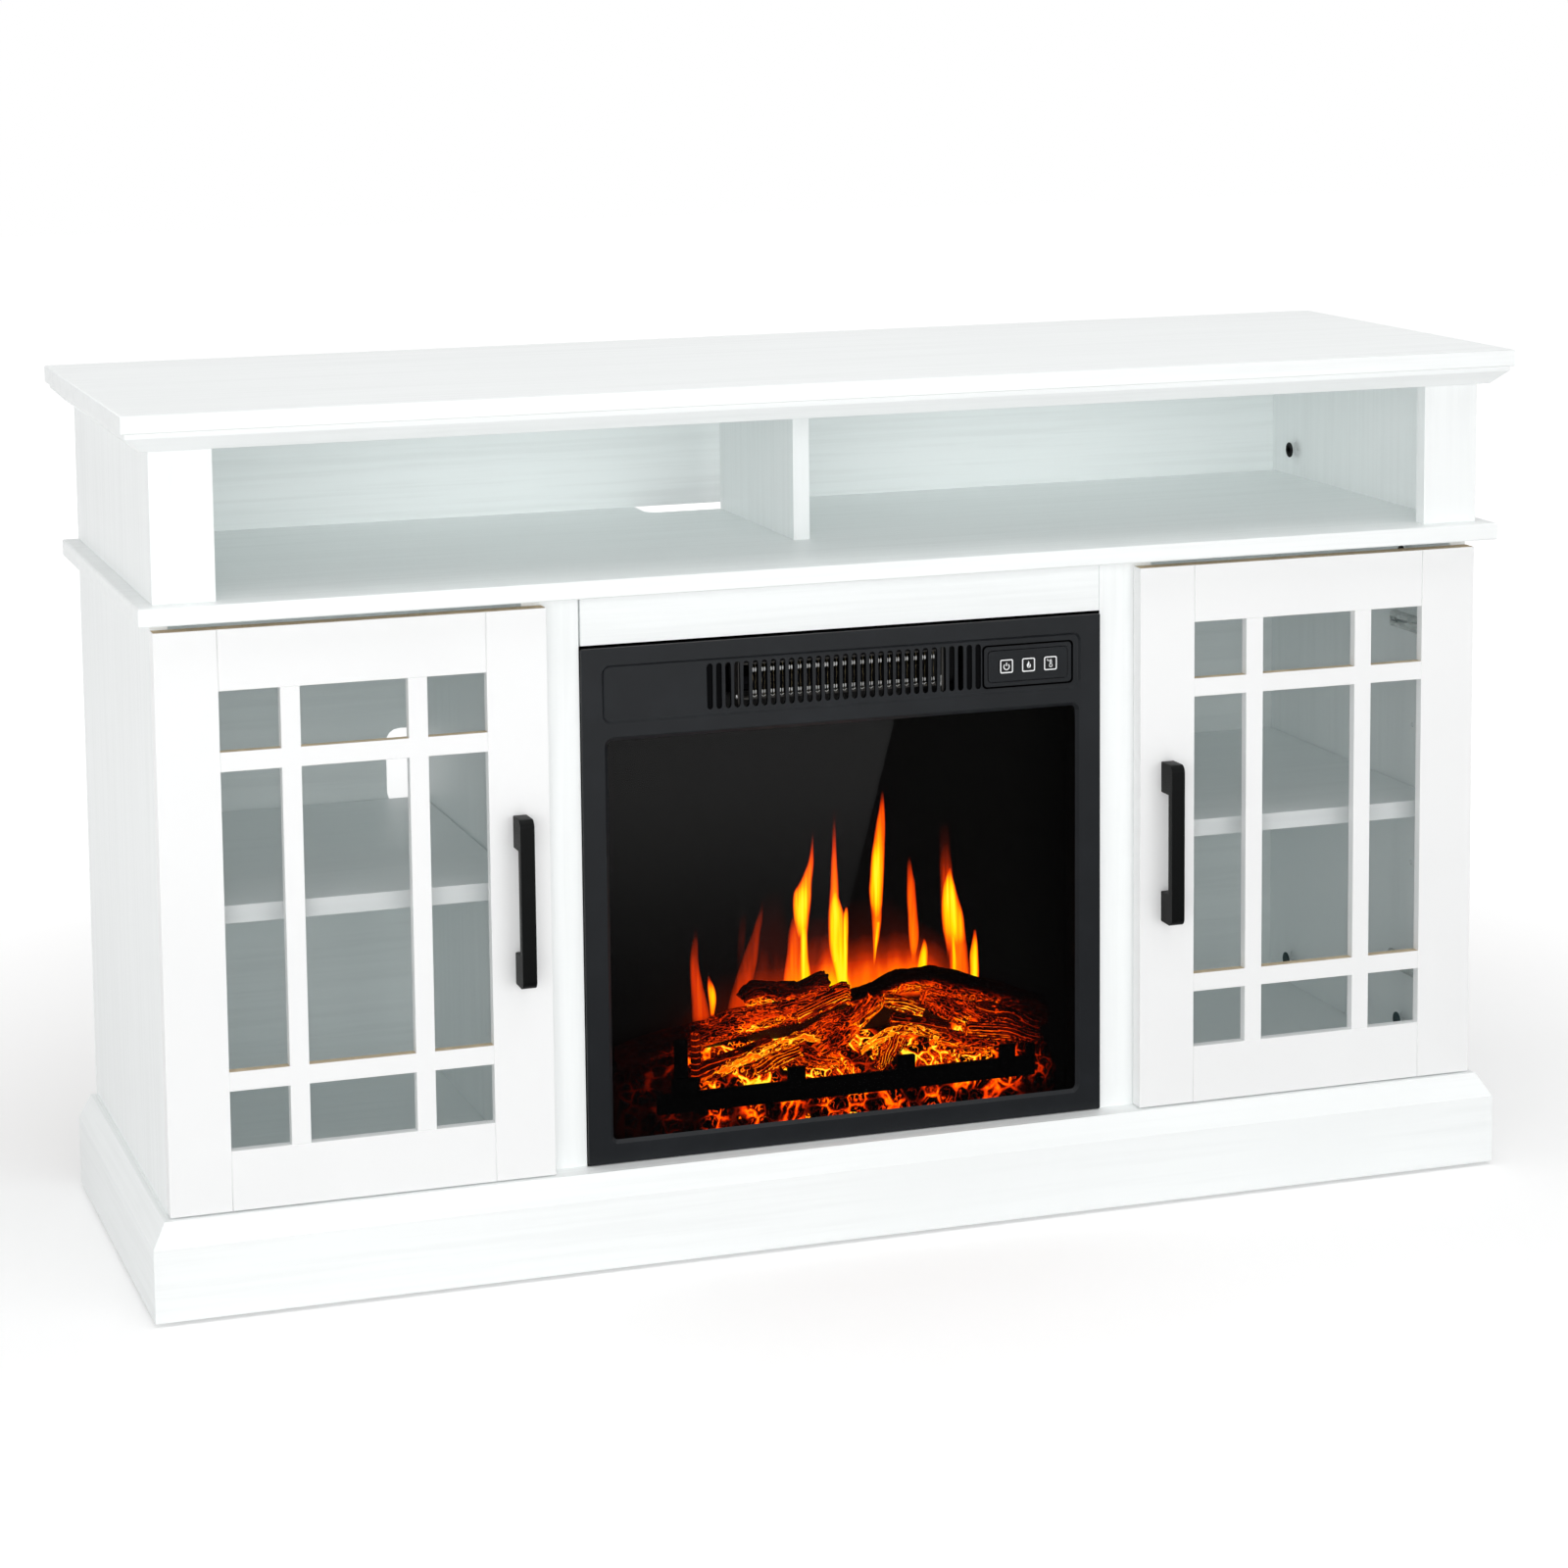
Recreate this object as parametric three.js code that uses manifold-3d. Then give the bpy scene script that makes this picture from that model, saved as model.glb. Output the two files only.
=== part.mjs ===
// Media console with two glazed doors and an electric fire insert
// Millimetres, +Z up, front faces -Y, origin on the floor under the middle of the cabinet

import * as THREE from 'three';
import { mergeVertices } from 'three/addons/utils/BufferGeometryUtils.js';
import Module from 'manifold-3d';

const wasm = await Module();
wasm.setup();

// Overall sizes and board stock
const overallWidth = 1220;
const overallDepth = 404;
const overallHeight = 738;
const boardThick = 15;
const backThick = 3;
const edgeEase = 1;
const seatGap = 0.3;
const cutOverrun = 5;
const mergeReach = 0.0003;

// Carcass, set back from the edges of the top
const bodySetback = 24.5;
const backInset = 5;
const lowerSetback = 42;
const upperSetback = 39;
const upperBayHeight = 139;
const postWidth = 51;
const dividerSetback = 151;
const dividerRearGap = 42;
const midShelfSideOverhang = 13.75;
const midShelfOverhang = 33;
const notchWidth = 154;
const notchRadius = 12;
const stileWidth = 33.5;
const railHeight = 46.25;
const railGapLeft = 1.5;
const insertClearance = 0.5;

// Cornice moulding under the top
const corniceHeight = 16;
const corniceInset = 3.5;
const corniceLip = 4.25;
const corniceChamferIn = 12.75;
const mitreGap = 0.3;

// Plinth and feet
const plinthLift = 3;
const plinthReach = 16.75;
const plinthRevealSide = 2;
const plinthChamferHeight = 19.5;
const plinthChamferIn = 11.25;
const footHeight = 68;
const footSideInset = 79.5;
const footFrontInset = 39.75;
const footRearInset = 60;
const footFlangeRadius = 24;
const footFlangeThick = 4;
const footWaistRadius = 11;
const footGlideRadius = 16;
const footGlideThick = 6;
const footGlideEase = 1.5;

// Lower shelves, their studs and the knock-down cam locks
const shelfTop = 330;
const shelfSetback = 11;
const shelfPlay = 1;
const studRadius = 2.5;
const studLength = 8;
const studFront = 67;
const studRear = 45;
const studPitch = 64;
const studClearance = 0.3;
const camRadius = 7.5;
const camDepth = 1.2;
const camSlotWidth = 2;
const camSlotDepth = 1.2;
const camUp = 26;
const camFront = 78;
const camRear = 50;

// Cable holes in the lower backs
const cableHoleWidth = 30;
const cableHoleHeight = 70;
const cableHoleRadius = 12;
const cableHoleInset = 19;
const cableHoleRise = 6;

// Doors
const doorThick = 15;
const doorGap = 1.4;
const doorTopGap = 7.75;
const doorFloorGap = 1.25;
const doorOverlap = 2;
const doorStile = 51;
const doorRail = 50;
const jointGroove = 0.5;
const cornerPaneShare = 0.2255;
const muntinWidth = 16;
const muntinThick = 9.5;
const rebateWidth = 7;
const glassThick = 3;
const glassPlay = 0.5;

// Bar pulls
const pullLength = 141.5;
const pullWidth = 12;
const pullReach = 23.5;
const pullBar = 8.5;
const pullLeg = 27;
const pullCorner = 7;
const pullInset = 25.5;
const pullDrop = 2.25;

// Concealed hinges
const hingeFromEnd = 80;
const pivotForward = 15;
const cupInset = 22.5;
const cupRadius = 17.25;
const cupWall = 1;
const cupDepth = 11;
const cupBoreClearance = 0.3;
const cupFlangeThick = 1;
const cupFlangeRadius = 18.5;
const cupEarSpan = 26;
const cupEarRadius = 5;
const plateThick = 3;
const plateFromFront = 37;
const plateWing = 16;
const plateWingWidth = 12;
const armWidth = 12;
const armThick = 9;
const armLift = 2;
const armRear = 102;
const armNose = 10;
const armTipReach = 7.5;
const armTipLow = 6;
const armTipHigh = 15;
const armSlotWidth = 4;
const armSlotLength = 14;
const armSlotSetback = 12;

// Fire insert front
const bezelWidth = 464;
const bezelLift = 0.75;
const bezelProud = 3;
const bezelThick = 3;
const bezelLip = 2;
const bezelLipDepth = 10;
const bezelCorner = 1.5;
const windowWidth = 419;
const windowLow = 19.5;
const windowTopGap = 17;
const windowRadius = 4;
const windowBevel = 3;
const fieldWidth = 424;
const fieldHeight = 45;
const fieldTopGap = 17;
const fieldRadius = 5;
const fieldRecess = 2;
const fieldWall = 2;

// Grille
const slotCount = 31;
const slotPitch = 8;
const slotWidth = 5;
const slotHeight = 39.2;
const slotRise = 3.25;
const blindSlots = 2;
const blindDepth = 1.8;

// Control panel and buttons
const panelWidth = 74;
const panelHeight = 28;
const panelRadius = 4;
const panelCentreX = 165.6;
const panelRise = 21.75;
const panelGroove = 0.5;
const panelProud = 0.6;
const panelFlange = 4;
const panelFlangeThick = 1.5;
const buttonSize = 12;
const buttonRadius = 2;
const buttonPitch = 20.25;
const buttonProud = 1.2;
const buttonClearance = 0.4;
const buttonFlange = 1.5;
const buttonFlangeThick = 1.2;

// Fire insert housing
const housingWidth = 452;
const housingLift = 5;
const housingTopGap = 8.25;
const housingDepth = 135;
const sheet = 1.5;
const heaterDrop = 7.25;
const skidWidth = 22;
const skidInset = 60;
const skidMargin = 12;
const ventCount = 15;
const ventPitch = 14;
const ventWidth = 5;
const ventHeight = 34;
const glandX = 150;
const glandUp = 34;
const glandRadius = 8;
const glandLength = 10;
const glandBore = 3.2;
const lampBoardDepth = 24;
const lampBoardHeight = 6;
const lampBoardSetback = 92;
const fireGlassThick = 4;
const fireGlassMargin = 7;

// Heater element behind the grille
const heaterWidth = 184;
const heaterDepth = 12;
const heaterBack = 9;
const heaterHeight = 54;
const micaThick = 1.5;
const micaLow = 13;
const micaHigh = 45;
const wirePairs = 22;
const wirePitch = 8;
const wireSize = 1.2;
const wireSplit = 3;

// Blower
const blowerSetback = 65;
const wheelRadius = 20;
const wheelBladeOuter = 19;
const wheelBladeInner = 15;
const wheelLength = 176;
const wheelDisc = 2;
const wheelBlades = 16;
const bladeThick = 0.8;
const shaftRadius = 3;
const shaftStub = 9;
const runningClearance = 0.3;
const bushWall = 3;
const bushPlate = 2;
const motorGap = 3;
const motorSize = 42;
const motorLength = 26;
const motorCorner = 6;
const motorFootWidth = 16;

// Flame screen and flame rod
const screenThick = 3;
const screenSetback = 52;
const screenPlay = 0.5;
const rodSetback = 100;
const rodUp = 62;
const rodRadius = 3;
const rodStub = 8;
const paddleCount = 10;
const paddleLength = 30;
const paddleWidth = 34;
const paddleThick = 0.8;
const paddleTurn = THREE.MathUtils.degToRad(60);
const rodMotorRadius = 24;
const rodMotorLength = 16;
const rodBossRadius = 7;
const rodBossLength = 5;

// Log set with its grate bar
const logSetFront = 8;
const logSetBack = 50;
const logBedWidth = 392;
const logBedLip = 16;
const logBedCrest = 70;
const logBedCrestDepth = 12;
const grateWidth = 346;
const grateBar = 15;
const grateLow = 34;
const grateThick = 3;
const grateProud = 0.8;
const lugHeight = 9.5;
const lugWidths = [23, 19, 16, 12];
const lugCentreShares = [-0.415, -0.13, 0.151, 0.425];
const logShoulder = 2;
const logTrim = 1;
const logKnots = 5;
const logKnotShare = 0.08;
const logRoll = THREE.MathUtils.degToRad(45.5);
const logSides = 8;
const logRings = 5;

// Facets: steps in a full circle, in a small bore and in a quarter round
const roundSegments = 16;
const boreSegments = 10;
const cornerSegments = 4;
const slotSegments = 2;

// Finishes
function finish(color, roughness, metalness = 0) {
  return new THREE.MeshStandardMaterial({ color, roughness, metalness });
}
const whiteFinish = finish(0xeef0f0, 0.45);
const backFinish = finish(0xe4e8ea, 0.6);
const blackPull = finish(0x17181a, 0.5, 0.3);
const blackPlastic = finish(0x1a1b1d, 0.6);
const slateBezel = finish(0x2a2e35, 0.45, 0.2);
const steelHousing = finish(0x202225, 0.6, 0.6);
const brightMetal = finish(0xb9bcc0, 0.3, 0.9);
const paneGlass = finish(0xa9b6ba, 0.05);
const fireGlass = finish(0x141414, 0.05);
const screenFinish = finish(0x3a1c10, 0.5);
const logFinish = finish(0x5a2a12, 0.8);
const foilFinish = finish(0xd8c9a0, 0.25, 0.9);

// Planes that pieces share
const bodyHalf = overallWidth / 2 - bodySetback;
const bodyInner = bodyHalf - boardThick;
const topUnder = overallHeight - boardThick;
const midTop = topUnder - upperBayHeight;
const midUnder = midTop - boardThick;
const floorTop = footHeight + boardThick;
const carcassBack = overallDepth / 2 - backInset;
const backPlane = carcassBack + backThick;
const lowerFront = lowerSetback - overallDepth / 2;
const upperFront = upperSetback - overallDepth / 2;
const postFront = upperFront - boardThick;
const postTop = topUnder - corniceHeight;
const midHalf = bodyHalf + midShelfSideOverhang;
const midFront = lowerFront - midShelfOverhang;
const midBack = overallDepth / 2;
const dividerBack = carcassBack - dividerRearGap;
const dividerFront = dividerSetback - overallDepth / 2;
const stileInner = bezelWidth / 2 + insertClearance;
const partitionFace = stileInner + stileWidth;
const partitionOuter = partitionFace + boardThick;
const railLow = midUnder - railHeight;
const doorBack = lowerFront - doorGap;
const doorFront = doorBack - doorThick;
const doorLow = floorTop + doorFloorGap;
const doorHigh = midUnder - doorTopGap;
const doorInnerEdge = partitionFace - doorOverlap;
const plinthFront = lowerFront - boardThick - plinthReach;
const plinthInner = plinthFront + boardThick;
const plinthSideInner = bodyHalf + plinthRevealSide;
const plinthSideOuter = plinthSideInner + boardThick;
const shelfUnder = shelfTop - boardThick;
const shelfMiddle = (shelfTop + shelfUnder) / 2;
const pivotY = lowerFront - pivotForward;
const bezelPlane = lowerFront;
const bezelFront = bezelPlane - bezelProud;
const bezelBottom = floorTop + bezelLift;
const bezelTop = railLow - insertClearance;
const fieldTop = bezelTop - fieldTopGap;
const fieldLow = fieldTop - fieldHeight;
const housingBack = bezelPlane + housingDepth;
const housingLow = floorTop + housingLift;
const housingTop = bezelTop - housingTopGap;
const chamberFloor = housingLow + sheet;
const heaterFloor = fieldLow - heaterDrop;
const heaterBase = heaterFloor + sheet;
const blowerY = bezelPlane + blowerSetback;
const blowerZ = (heaterBase + housingTop - sheet) / 2;
const rodY = bezelPlane + rodSetback;
const rodZ = chamberFloor + rodUp;
const housingInner = housingWidth / 2 - sheet;

// Solids from closed three.js geometry
function solidOf(geometry) {
  const plain = geometry.index ? geometry.toNonIndexed() : geometry.clone();
  plain.deleteAttribute('normal');
  plain.deleteAttribute('uv');
  const merged = mergeVertices(plain, mergeReach);
  const vertProperties = new Float32Array(merged.attributes.position.array);
  const triVerts = new Uint32Array(merged.index.array);
  return new wasm.Manifold(new wasm.Mesh({ numProp: 3, vertProperties, triVerts }));
}

function geometryOf(solid) {
  const mesh = solid.getMesh();
  const geometry = new THREE.BufferGeometry();
  geometry.setAttribute('position', new THREE.BufferAttribute(new Float32Array(mesh.vertProperties), 3));
  geometry.setIndex(new THREE.BufferAttribute(new Uint32Array(mesh.triVerts), 1));
  geometry.computeVertexNormals();
  return geometry;
}

function joined(first, ...others) {
  return others.reduce((whole, piece) => whole.add(piece), first);
}

// The outermost closed body of a joined solid, without the hollows that its pieces shut in
function outerBody(solid) {
  return solid.decompose().reduce((best, piece) => (piece.volume() > best.volume() ? piece : best));
}

function cutBy(body, ...tools) {
  return tools.reduce((rest, tool) => rest.subtract(tool), body);
}

function block(x, y, z) {
  const geometry = new THREE.BoxGeometry(x[1] - x[0], y[1] - y[0], z[1] - z[0]);
  geometry.translate((x[0] + x[1]) / 2, (y[0] + y[1]) / 2, (z[0] + z[1]) / 2);
  return solidOf(geometry);
}

// A prism of an outline: axis X takes (Y, Z) outlines, axis Y takes (X, Z), axis Z takes (X, Y)
// A curve of an outline gets two steps for each of its curveSegments
const axisX = new THREE.Vector3(1, 0, 0);
const axisY = new THREE.Vector3(0, 1, 0);
const axisZ = new THREE.Vector3(0, 0, 1);
const prismFrames = {
  X: new THREE.Matrix4().makeBasis(axisY, axisZ, axisX),
  Y: new THREE.Matrix4().makeBasis(axisX, axisZ, axisY.clone().negate()),
  Z: new THREE.Matrix4(),
};

function prism(outline, axis, span, steps = cornerSegments) {
  const depth = span[1] - span[0];
  const settings = { depth, bevelEnabled: false, curveSegments: steps / 2 };
  const geometry = new THREE.ExtrudeGeometry(outline, settings);
  geometry.translate(0, 0, axis === 'Y' ? -span[1] : span[0]);
  geometry.applyMatrix4(prismFrames[axis]);
  return solidOf(geometry);
}

function polygon(points) {
  return new THREE.Shape(points.map(([u, v]) => new THREE.Vector2(u, v)));
}

function rectangle(u, v) {
  return polygon([[u[0], v[0]], [u[1], v[0]], [u[1], v[1]], [u[0], v[1]]]);
}

function roundedRectangle(u, v, radius) {
  const shape = new THREE.Shape();
  shape.absarc(u[1] - radius, v[0] + radius, radius, -Math.PI / 2, 0);
  shape.absarc(u[1] - radius, v[1] - radius, radius, 0, Math.PI / 2);
  shape.absarc(u[0] + radius, v[1] - radius, radius, Math.PI / 2, Math.PI);
  shape.absarc(u[0] + radius, v[0] + radius, radius, Math.PI, Math.PI * 1.5);
  return shape;
}

function disc(u, v, radius) {
  return new THREE.Shape().absarc(u, v, radius, 0, Math.PI * 2);
}

function rod(axis, centre, radius, span, segments = roundSegments) {
  return prism(disc(centre[0], centre[1], radius), axis, span, segments);
}

// A recess tool along Y: its small end is the floor at y, and it widens towards -Y over the wall
function flaredTool(outline, y, wall, depth) {
  const geometry = new THREE.ExtrudeGeometry(outline, {
    depth: cutOverrun,
    bevelThickness: depth,
    bevelSize: wall,
    bevelOffset: 0,
    bevelSegments: 1,
    curveSegments: cornerSegments / 2,
  });
  geometry.translate(0, 0, depth - y);
  geometry.applyMatrix4(prismFrames.Y);
  return solidOf(geometry);
}

// Scene graph helpers
const model = new THREE.Group();

function assembly(parent = model) {
  const group = new THREE.Group();
  parent.add(group);
  return group;
}

function place(group, name, solid, material, x = 0, y = 0, z = 0) {
  const mesh = new THREE.Mesh(geometryOf(solid), material);
  mesh.name = name;
  mesh.position.set(x, y, z);
  group.add(mesh);
}

// The left piece is the right one mirrored about x = 0, with its faces turned back out
function mirrored(geometry) {
  const copy = geometry.clone().scale(-1, 1, 1);
  const index = copy.index.array;
  for (let i = 0; i < index.length; i += 3) {
    [index[i], index[i + 1]] = [index[i + 1], index[i]];
  }
  copy.computeVertexNormals();
  return copy;
}

function placePair(groups, name, solid, material, x = 0, y = 0, z = 0) {
  const right = new THREE.Mesh(geometryOf(solid), material);
  right.name = name.replace('SIDE', 'right');
  right.position.set(x, y, z);
  const left = new THREE.Mesh(mirrored(right.geometry), material);
  left.name = name.replace('SIDE', 'left');
  left.position.set(-x, y, z);
  groups.right.add(right);
  groups.left.add(left);
}

const cabinet = assembly();
const cabinetSides = { left: cabinet, right: cabinet };

// Cam locks: a shallow seat with a driver slot, on the face x of an upright board
function camTools(x, inward, y, z) {
  const seat = [Math.min(x, x + inward * camDepth), Math.max(x, x + inward * camDepth)];
  const ring = rod('X', [y, z], camRadius, spanOver(seat, inward), boreSegments);
  const deep = x + inward * (camDepth + camSlotDepth);
  const slotX = [Math.min(x, deep), Math.max(x, deep)];
  const slotY = [y - camRadius / 2, y + camRadius / 2];
  return [ring, block(slotX, slotY, [z - camSlotWidth / 2, z + camSlotWidth / 2])];
}

// A span lengthened past the face that a cut starts from
function spanOver(span, inward) {
  return inward > 0 ? [span[0] - cutOverrun, span[1]] : [span[0], span[1] + cutOverrun];
}

// Top slab with eased edges
function easedSlab(halfWidth, y, z) {
  const spanX = [edgeEase - halfWidth, halfWidth - edgeEase];
  const outline = rectangle(spanX, [y[0] + edgeEase, y[1] - edgeEase]);
  const geometry = new THREE.ExtrudeGeometry(outline, {
    depth: z[1] - z[0] - 2 * edgeEase,
    bevelThickness: edgeEase,
    bevelSize: edgeEase,
    bevelSegments: 1,
  });
  geometry.translate(0, 0, z[0] + edgeEase);
  return solidOf(geometry);
}
const topDepthSpan = [-overallDepth / 2, overallDepth / 2];
const topSlab = easedSlab(overallWidth / 2, topDepthSpan, [topUnder, overallHeight]);
place(cabinet, 'top_panel', topSlab, whiteFinish);

// Cornice: one moulded section, mitred at the front corners
const corniceFront = -overallDepth / 2 + corniceInset;
const corniceOuter = overallWidth / 2 - corniceInset;
const corniceWide = corniceOuter - bodyHalf;
const corniceCorner = corniceFront + corniceWide;

function corniceSection(outer, towards, inner) {
  return polygon([
    [outer, topUnder],
    [outer, topUnder - corniceLip],
    [outer + towards * corniceChamferIn, postTop],
    [inner, postTop],
    [inner, topUnder],
  ]);
}

function corniceStrips() {
  const long = prism(corniceSection(corniceFront, 1, upperFront), 'X', [-corniceOuter, corniceOuter]);
  const frontPlan = polygon([
    [-corniceOuter, corniceFront],
    [corniceOuter, corniceFront],
    [bodyHalf, corniceCorner],
    [bodyHalf, upperFront],
    [-bodyHalf, upperFront],
    [-bodyHalf, corniceCorner],
  ]);
  const front = long.intersect(prism(frontPlan, 'Z', [postTop - cutOverrun, topUnder + cutOverrun]));
  const side = prism(corniceSection(corniceOuter, -1, bodyHalf), 'Y', [corniceFront, carcassBack]);
  const sidePlan = polygon([
    [corniceOuter, corniceFront + mitreGap],
    [corniceOuter, carcassBack],
    [bodyHalf, carcassBack],
    [bodyHalf, corniceCorner + mitreGap],
  ]);
  const sideKeep = prism(sidePlan, 'Z', [postTop - cutOverrun, topUnder + cutOverrun]);
  return { front, side: side.intersect(sideKeep) };
}
const cornice = corniceStrips();
place(cabinet, 'cornice_front', cornice.front, whiteFinish);
placePair(cabinetSides, 'cornice_SIDE', cornice.side, whiteFinish);

// Upper compartment: side panels, posts in front of them, and a short divider
function upperSidePanel() {
  const panel = block([bodyInner, bodyHalf], [upperFront, carcassBack], [midTop, topUnder]);
  const cams = [];
  for (const y of [upperFront + camFront - camRear, carcassBack - camRear]) {
    for (const z of [midTop + camUp, topUnder - camUp]) {
      cams.push(...camTools(bodyInner, 1, y, z));
    }
  }
  return cutBy(panel, ...cams);
}
placePair(cabinetSides, 'upper_side_SIDE', upperSidePanel(), whiteFinish);

const post = block([bodyHalf - postWidth, bodyHalf], [postFront, upperFront], [midTop, postTop]);
placePair(cabinetSides, 'upper_post_SIDE', post, whiteFinish);

function upperDivider() {
  const half = boardThick / 2;
  const panel = block([-half, half], [dividerFront, dividerBack], [midTop, topUnder]);
  const cams = [];
  for (const z of [midTop + camUp, topUnder - camUp]) {
    cams.push(...camTools(half, -1, (dividerFront + dividerBack) / 2, z));
  }
  return cutBy(panel, ...cams);
}
place(cabinet, 'upper_divider', upperDivider(), whiteFinish);

// Mid shelf with the cable notch in its rear edge
function midShelf() {
  const slab = easedSlab(midHalf, [midFront, midBack], [midUnder, midTop]);
  const notch = roundedRectangle(
    [-notchWidth / 2, notchWidth / 2],
    [dividerBack, midBack + notchRadius + cutOverrun],
    notchRadius,
  );
  return cutBy(slab, prism(notch, 'Z', [midUnder - cutOverrun, midTop + cutOverrun]));
}
place(cabinet, 'mid_shelf', midShelf(), whiteFinish);

// Lower uprights: shelf studs stand out of them at the middle height, with spare holes above and below
const studPlaces = [lowerFront + studFront, carcassBack - studRear];

function uprightWithStuds(x, studFace, camFace) {
  const outward = studFace === x[0] ? -1 : 1;
  const camInward = camFace === x[0] ? 1 : -1;
  let panel = block(x, [lowerFront, carcassBack], [floorTop, midUnder]);
  for (const y of studPlaces) {
    const root = studFace - outward * boardThick / 2;
    const tip = studFace + outward * studLength;
    const studSpan = [Math.min(root, tip), Math.max(root, tip)];
    panel = panel.add(rod('X', [y, shelfMiddle], studRadius, studSpan, boreSegments));
    for (const step of [-studPitch, studPitch]) {
      const bore = [studFace - outward * studLength, studFace + outward * cutOverrun].sort((a, b) => a - b);
      panel = panel.subtract(rod('X', [y, shelfMiddle + step], studRadius, bore, boreSegments));
    }
  }
  const cams = [];
  for (const y of [lowerFront + camFront, carcassBack - camRear]) {
    for (const z of [floorTop + camUp, midUnder - camUp]) {
      cams.push(...camTools(camFace, camInward, y, z));
    }
  }
  return cutBy(panel, ...cams);
}
const sidePanel = uprightWithStuds([bodyInner, bodyHalf], bodyInner, bodyInner);
const partition = uprightWithStuds([partitionFace, partitionOuter], partitionOuter, partitionFace);
placePair(cabinetSides, 'side_panel_SIDE', sidePanel, whiteFinish);
placePair(cabinetSides, 'partition_SIDE', partition, whiteFinish);

const bottomX = [-plinthSideInner, plinthSideInner];
const bottomPanel = block(bottomX, [plinthInner, carcassBack], [footHeight, floorTop]);
place(cabinet, 'bottom_panel', bottomPanel, whiteFinish);

// Face frame round the fire insert
const stileDepth = [lowerFront, lowerFront + boardThick];
const stile = block([stileInner, partitionFace], stileDepth, [floorTop, midUnder]);
placePair(cabinetSides, 'centre_stile_SIDE', stile, whiteFinish);
const rail = block(
  [railGapLeft - stileInner, stileInner - seatGap],
  [lowerFront, lowerFront + boardThick],
  [railLow, midUnder],
);
place(cabinet, 'centre_rail', rail, whiteFinish);

// Plinth boards with a chamfered top edge, mitred at the front corners
function plinthSection(outer, towards, inner) {
  return polygon([
    [outer, plinthLift],
    [outer, floorTop - plinthChamferHeight],
    [outer + towards * plinthChamferIn, floorTop],
    [inner, floorTop],
    [inner, plinthLift],
  ]);
}

function plinthBoards() {
  const heights = [plinthLift - cutOverrun, floorTop + cutOverrun];
  const long = prism(plinthSection(plinthFront, 1, plinthInner), 'X', [-plinthSideOuter, plinthSideOuter]);
  const frontPlan = polygon([
    [-plinthSideOuter, plinthFront],
    [plinthSideOuter, plinthFront],
    [plinthSideInner, plinthInner],
    [-plinthSideInner, plinthInner],
  ]);
  const side = prism(plinthSection(plinthSideOuter, -1, plinthSideInner), 'Y', [plinthFront, carcassBack]);
  const sidePlan = polygon([
    [plinthSideOuter, plinthFront + mitreGap],
    [plinthSideOuter, carcassBack],
    [plinthSideInner, carcassBack],
    [plinthSideInner, plinthInner + mitreGap],
  ]);
  return {
    front: long.intersect(prism(frontPlan, 'Z', heights)),
    side: side.intersect(prism(sidePlan, 'Z', heights)),
  };
}
const plinth = plinthBoards();
place(cabinet, 'plinth_front', plinth.front, whiteFinish);
placePair(cabinetSides, 'plinth_SIDE', plinth.side, whiteFinish);

// Support feet: a flange under the bottom panel, a waisted column and a glide on the floor
function supportFoot() {
  const profile = [
    [0, 0],
    [footGlideRadius - footGlideEase, 0],
    [footGlideRadius, footGlideEase],
    [footGlideRadius, footGlideThick],
    [footWaistRadius, footGlideThick + footGlideRadius - footWaistRadius],
    [footWaistRadius, footHeight - footFlangeThick - footWaistRadius],
    [footGlideRadius, footHeight - footFlangeThick],
    [footFlangeRadius, footHeight - footFlangeThick],
    [footFlangeRadius, footHeight],
    [0, footHeight],
  ];
  const lathe = new THREE.LatheGeometry(profile.map(([r, z]) => new THREE.Vector2(r, z)), roundSegments);
  lathe.rotateX(Math.PI / 2);
  return solidOf(lathe);
}
const foot = supportFoot();
const footX = bodyHalf - footSideInset;
placePair(cabinetSides, 'foot_front_SIDE', foot, blackPlastic, footX, plinthInner + footFrontInset);
placePair(cabinetSides, 'foot_rear_SIDE', foot, blackPlastic, footX, carcassBack - footRearInset);

// Hardboard backs
const upperBack = block([-bodyHalf, bodyHalf], [carcassBack, backPlane], [midTop, topUnder]);
place(cabinet, 'back_panel_upper', upperBack, backFinish);

function lowerBack() {
  const sheetBoard = block([partitionFace, bodyHalf], [carcassBack, backPlane], [footHeight, midUnder]);
  const holeX = [partitionFace + cableHoleInset, partitionFace + cableHoleInset + cableHoleWidth];
  const holeZ = [shelfTop - cableHoleRise, shelfTop - cableHoleRise + cableHoleHeight];
  const hole = roundedRectangle(holeX, holeZ, cableHoleRadius);
  return cutBy(sheetBoard, prism(hole, 'Y', [carcassBack - cutOverrun, backPlane + cutOverrun]));
}
placePair(cabinetSides, 'back_panel_SIDE', lowerBack(), backFinish);

// Lower shelves, bored at mid thickness over the studs
function lowerShelf() {
  const x = [partitionOuter + shelfPlay, bodyInner - shelfPlay];
  const board = block(x, [lowerFront + shelfSetback, carcassBack - shelfPlay], [shelfUnder, shelfTop]);
  const boreSpans = [
    [x[0] - cutOverrun, partitionOuter + boardThick],
    [bodyInner - boardThick, x[1] + cutOverrun],
  ];
  const bores = [];
  for (const y of studPlaces) {
    for (const span of boreSpans) {
      bores.push(rod('X', [y, shelfMiddle], studRadius + studClearance, span, boreSegments));
    }
  }
  return cutBy(board, ...bores);
}
placePair(cabinetSides, 'shelf_SIDE', lowerShelf(), whiteFinish);

// Doors
const doorGroups = { left: assembly(), right: assembly() };
const doorX = [doorInnerEdge, bodyHalf];
const doorOpenX = [doorX[0] + doorStile, doorX[1] - doorStile];
const doorOpenZ = [doorLow + doorRail, doorHigh - doorRail];
const glassFront = doorFront + muntinThick;
const hingeHeights = [doorLow + hingeFromEnd, doorHigh - hingeFromEnd];
const cupX = bodyHalf - cupInset;

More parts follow.
